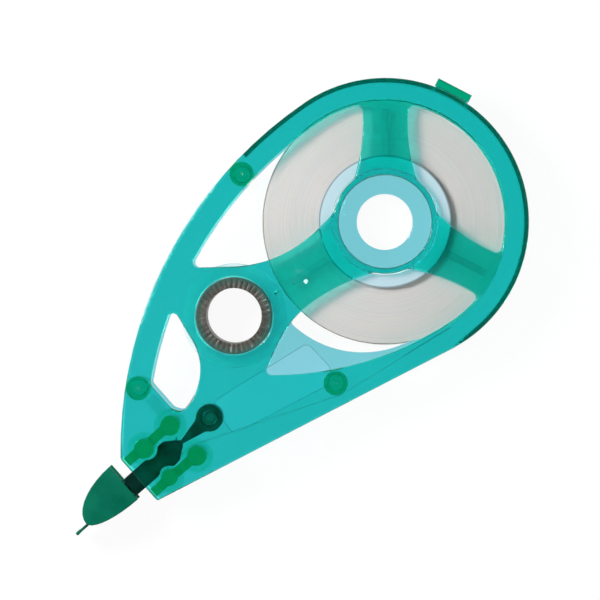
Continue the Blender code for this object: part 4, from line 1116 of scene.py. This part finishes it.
def stem_neck():
    """The thin neck that joins the eyelet's tail to the stem."""
    stem_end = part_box("applicator_stem")[1].x
    tail_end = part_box("stem_anchor")[0].x
    overlap = 0.5 * MM
    rings = 14
    sides = 12
    verts = []
    for ring in range(rings + 1):
        share = ring / rings
        x = stem_end - overlap + (tail_end - stem_end + 2 * overlap) * share
        waist = 1 - 0.25 * math.sin(math.pi * share)
        for step in range(sides):
            spot = polar(waist, 360.0 * step / sides)
            verts.append((x, TWIST.y + spot.x * NECK_HALF_WIDTH, TWIST.z + spot.y * NECK_HALF_HEIGHT))
    faces = [tuple(range(sides))[::-1]]
    for base in range(0, sides * rings, sides):
        for step in range(sides):
            onward = (step + 1) % sides
            faces.append((base + step, base + onward, base + sides + onward, base + sides + step))
    faces.append(tuple(range(sides * rings, sides * rings + sides)))
    piece = new_piece("stem_neck", verts, faces)
    shaded(piece)
    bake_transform(piece)
    return piece


class CASSETTE_OT_stem_and_nose(bpy.types.Operator):
    """Make the stem, its eyelet and neck, and the nose with its pressing blade"""

    bl_idname = "cassette.stem_and_nose"
    bl_label = "Stem and nose"
    bl_options = {"REGISTER", "UNDO"}

    def execute(self, context):
        colours = context.scene.cassette_colours
        soft = context.scene.cassette_sizes.nose_round
        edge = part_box("rear_frame")[0].x
        # the stem carries painted shade beyond the rear frame's front edge
        black = satin_plastic("black_green_satin", colours.stem, 0.3, 0.08, 0.6, 1.6, edge)
        green = satin_plastic("dark_green_satin", colours.nose, 0.34, 0.12)
        stem = eased_copy("applicator_stem", "stem_moulded", soft)
        placed(stem, "applicator", black, ["applicator_stem"])
        eyelet = eased_copy("stem_anchor", "eyelet_moulded", soft)
        placed(eyelet, "frame", black, ["stem_anchor"])
        nose = eased_copy("applicator_nose", "nose_moulded", soft)
        placed(nose, "applicator", green, ["applicator_nose"])
        neck = stem_neck()
        neck.data.materials.append(black)
        return {"FINISHED"}


class CASSETTE_OT_tape_runs(bpy.types.Operator):
    """Draw the tape between the reels, past the guides and round the blade"""

    bl_idname = "cassette.tape_runs"
    bl_label = "Tape runs"
    bl_options = {"REGISTER", "UNDO"}

    def execute(self, context):
        colours = context.scene.cassette_colours
        film = thin_film("drawn_film", colours.film, 0.06, 1.0)
        coat = thin_film("white_coating", colours.coat, 0.1, 0.9)
        layer = TAPE / 2
        low = TAPE_LOW
        high = TAPE_HIGH
        feed = ribbon_line("tape_feed_run")
        feed_film = ribbon("feed_film", feed, layer, -layer / 2, low, high)
        placed(feed_film, "frame", film, ["tape_feed_run"])
        feed_coat = ribbon("feed_coating", feed, layer, layer / 2, low + COAT_MARGIN, high - COAT_MARGIN)
        placed(feed_coat, "frame", coat)
        back = ribbon("return_film", ribbon_line("tape_return_run"), TAPE, 0.0, low, high)
        placed(back, "frame", film, ["tape_return_run"])
        loop = ribbon("tip_loop_film", ribbon_line("tape_tip_loop"), TAPE, 0.0, low, high)
        placed(loop, "applicator", film, ["tape_tip_loop"])
        return {"FINISHED"}


# Stage


def set_floor():
    half = 3.0
    drop = -0.05 * MM
    corners = [(-half, -half, drop), (half, -half, drop), (half, half, drop), (-half, half, drop)]
    floor = new_piece("floor", corners, [(0, 1, 2, 3)])
    finish = Finish("white_floor")
    finish.set(Base_Color=(0.9, 0.9, 0.9, 1.0), Roughness=0.9)
    rays = finish.node("ShaderNodeLightPath")
    seen = rays.outputs["Is Camera Ray"]
    for name in ("Is Glossy Ray", "Is Transmission Ray"):
        both = finish.node("ShaderNodeMath", operation="MAXIMUM")
        finish.link(seen, both.inputs[0])
        finish.link(rays.outputs[name], both.inputs[1])
        seen = both.outputs["Value"]
    faint = finish.node("ShaderNodeBsdfDiffuse")
    faint.inputs["Color"].default_value = (0.09, 0.09, 0.09, 1.0)
    white = finish.node("ShaderNodeEmission")
    white.inputs["Strength"].default_value = 0.94
    together = finish.node("ShaderNodeAddShader")
    finish.link(faint.outputs["BSDF"], together.inputs[0])
    finish.link(white.outputs["Emission"], together.inputs[1])
    either = finish.node("ShaderNodeMixShader")
    finish.link(seen, either.inputs["Fac"])
    finish.link(finish.shader.outputs["BSDF"], either.inputs[1])
    finish.link(together.outputs["Shader"], either.inputs[2])
    finish.link(either.outputs["Shader"], finish.output.inputs["Surface"])
    floor.data.materials.append(finish.material)


def set_light():
    world = bpy.data.worlds.new("studio")
    bpy.context.scene.world = world
    world.use_nodes = True
    nodes = world.node_tree.nodes
    links = world.node_tree.links
    surround = nodes["Background"]
    surround.inputs["Color"].default_value = (1.0, 1.0, 1.0, 1.0)
    rays = nodes.new("ShaderNodeLightPath")
    place = nodes.new("ShaderNodeTexCoord")
    split = nodes.new("ShaderNodeSeparateXYZ")
    links.new(place.outputs["Generated"], split.inputs["Vector"])
    fade = nodes.new("ShaderNodeMapRange")
    fade.inputs["From Min"].default_value = 0.25
    fade.inputs["From Max"].default_value = 0.75
    fade.inputs["To Min"].default_value = 0.75
    fade.inputs["To Max"].default_value = 0.015
    links.new(split.outputs["Z"], fade.inputs["Value"])
    strength = nodes.new("ShaderNodeMix")
    links.new(rays.outputs["Is Camera Ray"], strength.inputs["Factor"])
    links.new(fade.outputs["Result"], strength.inputs[2])
    strength.inputs[3].default_value = 1.0
    links.new(strength.outputs[0], surround.inputs["Strength"])
    for name, place, size, power in (
            ("key_softbox", (-0.07, 0.18, 0.21), 0.1, 0.64),
            ("fill_softbox", (0.6, -0.1, 0.7), 0.6, 0.3),
            ("low_softbox", (-0.4, -0.45, 0.5), 0.6, 1.2)):
        lamp = bpy.data.lights.new(name, "AREA")
        lamp.shape = "SQUARE"
        lamp.size = size
        lamp.energy = power
        holder = bpy.data.objects.new(name, lamp)
        bpy.context.scene.collection.objects.link(holder)
        holder.location = place
        holder.rotation_euler = Vector(place).to_track_quat("Z", "Y").to_euler()


def set_camera(view_width):
    """Almost straight above, with the nose at the lower left."""
    turn = 41.3
    lean = math.radians(1.0)
    distance = 0.6
    target = Vector((4.53 * MM, -0.55 * MM, THICKNESS / 2))
    right = Vector((*polar(1.0, -turn), 0.0))
    up = Vector((*polar(1.0, 90.0 - turn), 0.0))
    aside = (right + up).normalized()
    away = aside * math.sin(lean) + Vector((0.0, 0.0, math.cos(lean)))
    side = (right - away * right.dot(away)).normalized()
    rise = away.cross(side)
    lens = bpy.data.cameras.new("picture_camera")
    lens.sensor_width = 36.0
    lens.lens = 36.0 * distance / view_width
    lens.clip_start = 0.01
    lens.clip_end = 20.0
    camera = bpy.data.objects.new("picture_camera", lens)
    bpy.context.scene.collection.objects.link(camera)
    axes = Matrix((side, rise, away)).transposed().to_4x4()
    camera.matrix_world = Matrix.Translation(target + away * distance) @ axes
    bpy.context.scene.camera = camera


class CASSETTE_OT_stage(bpy.types.Operator):
    """Set the pale floor, the soft light and the camera"""

    bl_idname = "cassette.stage"
    bl_label = "Stage"
    bl_options = {"REGISTER", "UNDO"}

    def execute(self, context):
        set_floor()
        set_light()
        set_camera(context.scene.cassette_sizes.view_width)
        context.scene.view_settings.view_transform = "Standard"
        return {"FINISHED"}


class CASSETTE_PT_pieces(bpy.types.Panel):
    """The cassette's pieces, in the order in which they are made"""

    bl_idname = "CASSETTE_PT_pieces"
    bl_label = "Correction tape cassette"
    bl_space_type = "VIEW_3D"
    bl_region_type = "UI"
    bl_category = "Cassette"

    def draw(self, context):
        for operator in OPERATORS:
            self.layout.operator(operator.bl_idname)
        for group in (context.scene.cassette_sizes, context.scene.cassette_colours):
            for name in group.__annotations__:
                self.layout.prop(group, name)


OPERATORS = (
    CASSETTE_OT_frame_halves,
    CASSETTE_OT_pins_and_posts,
    CASSETTE_OT_supply_core,
    CASSETTE_OT_supply_roll,
    CASSETTE_OT_take_up_reel,
    CASSETTE_OT_stem_and_nose,
    CASSETTE_OT_tape_runs,
    CASSETTE_OT_stage,
)
CLASSES = (CassetteSizes, CassetteColours, *OPERATORS, CASSETTE_PT_pieces)


def register():
    for item in CLASSES:
        bpy.utils.register_class(item)
    bpy.types.Scene.cassette_sizes = PointerProperty(type=CassetteSizes)
    bpy.types.Scene.cassette_colours = PointerProperty(type=CassetteColours)


def unregister():
    del bpy.types.Scene.cassette_colours
    del bpy.types.Scene.cassette_sizes
    for item in reversed(CLASSES):
        bpy.utils.unregister_class(item)


def main():
    register()
    bpy.ops.cassette.frame_halves()
    bpy.ops.cassette.pins_and_posts()
    bpy.ops.cassette.supply_core()
    bpy.ops.cassette.supply_roll()
    bpy.ops.cassette.take_up_reel()
    bpy.ops.cassette.stem_and_nose()
    bpy.ops.cassette.tape_runs()
    bpy.ops.cassette.stage()


if __name__ == "__main__":
    main()
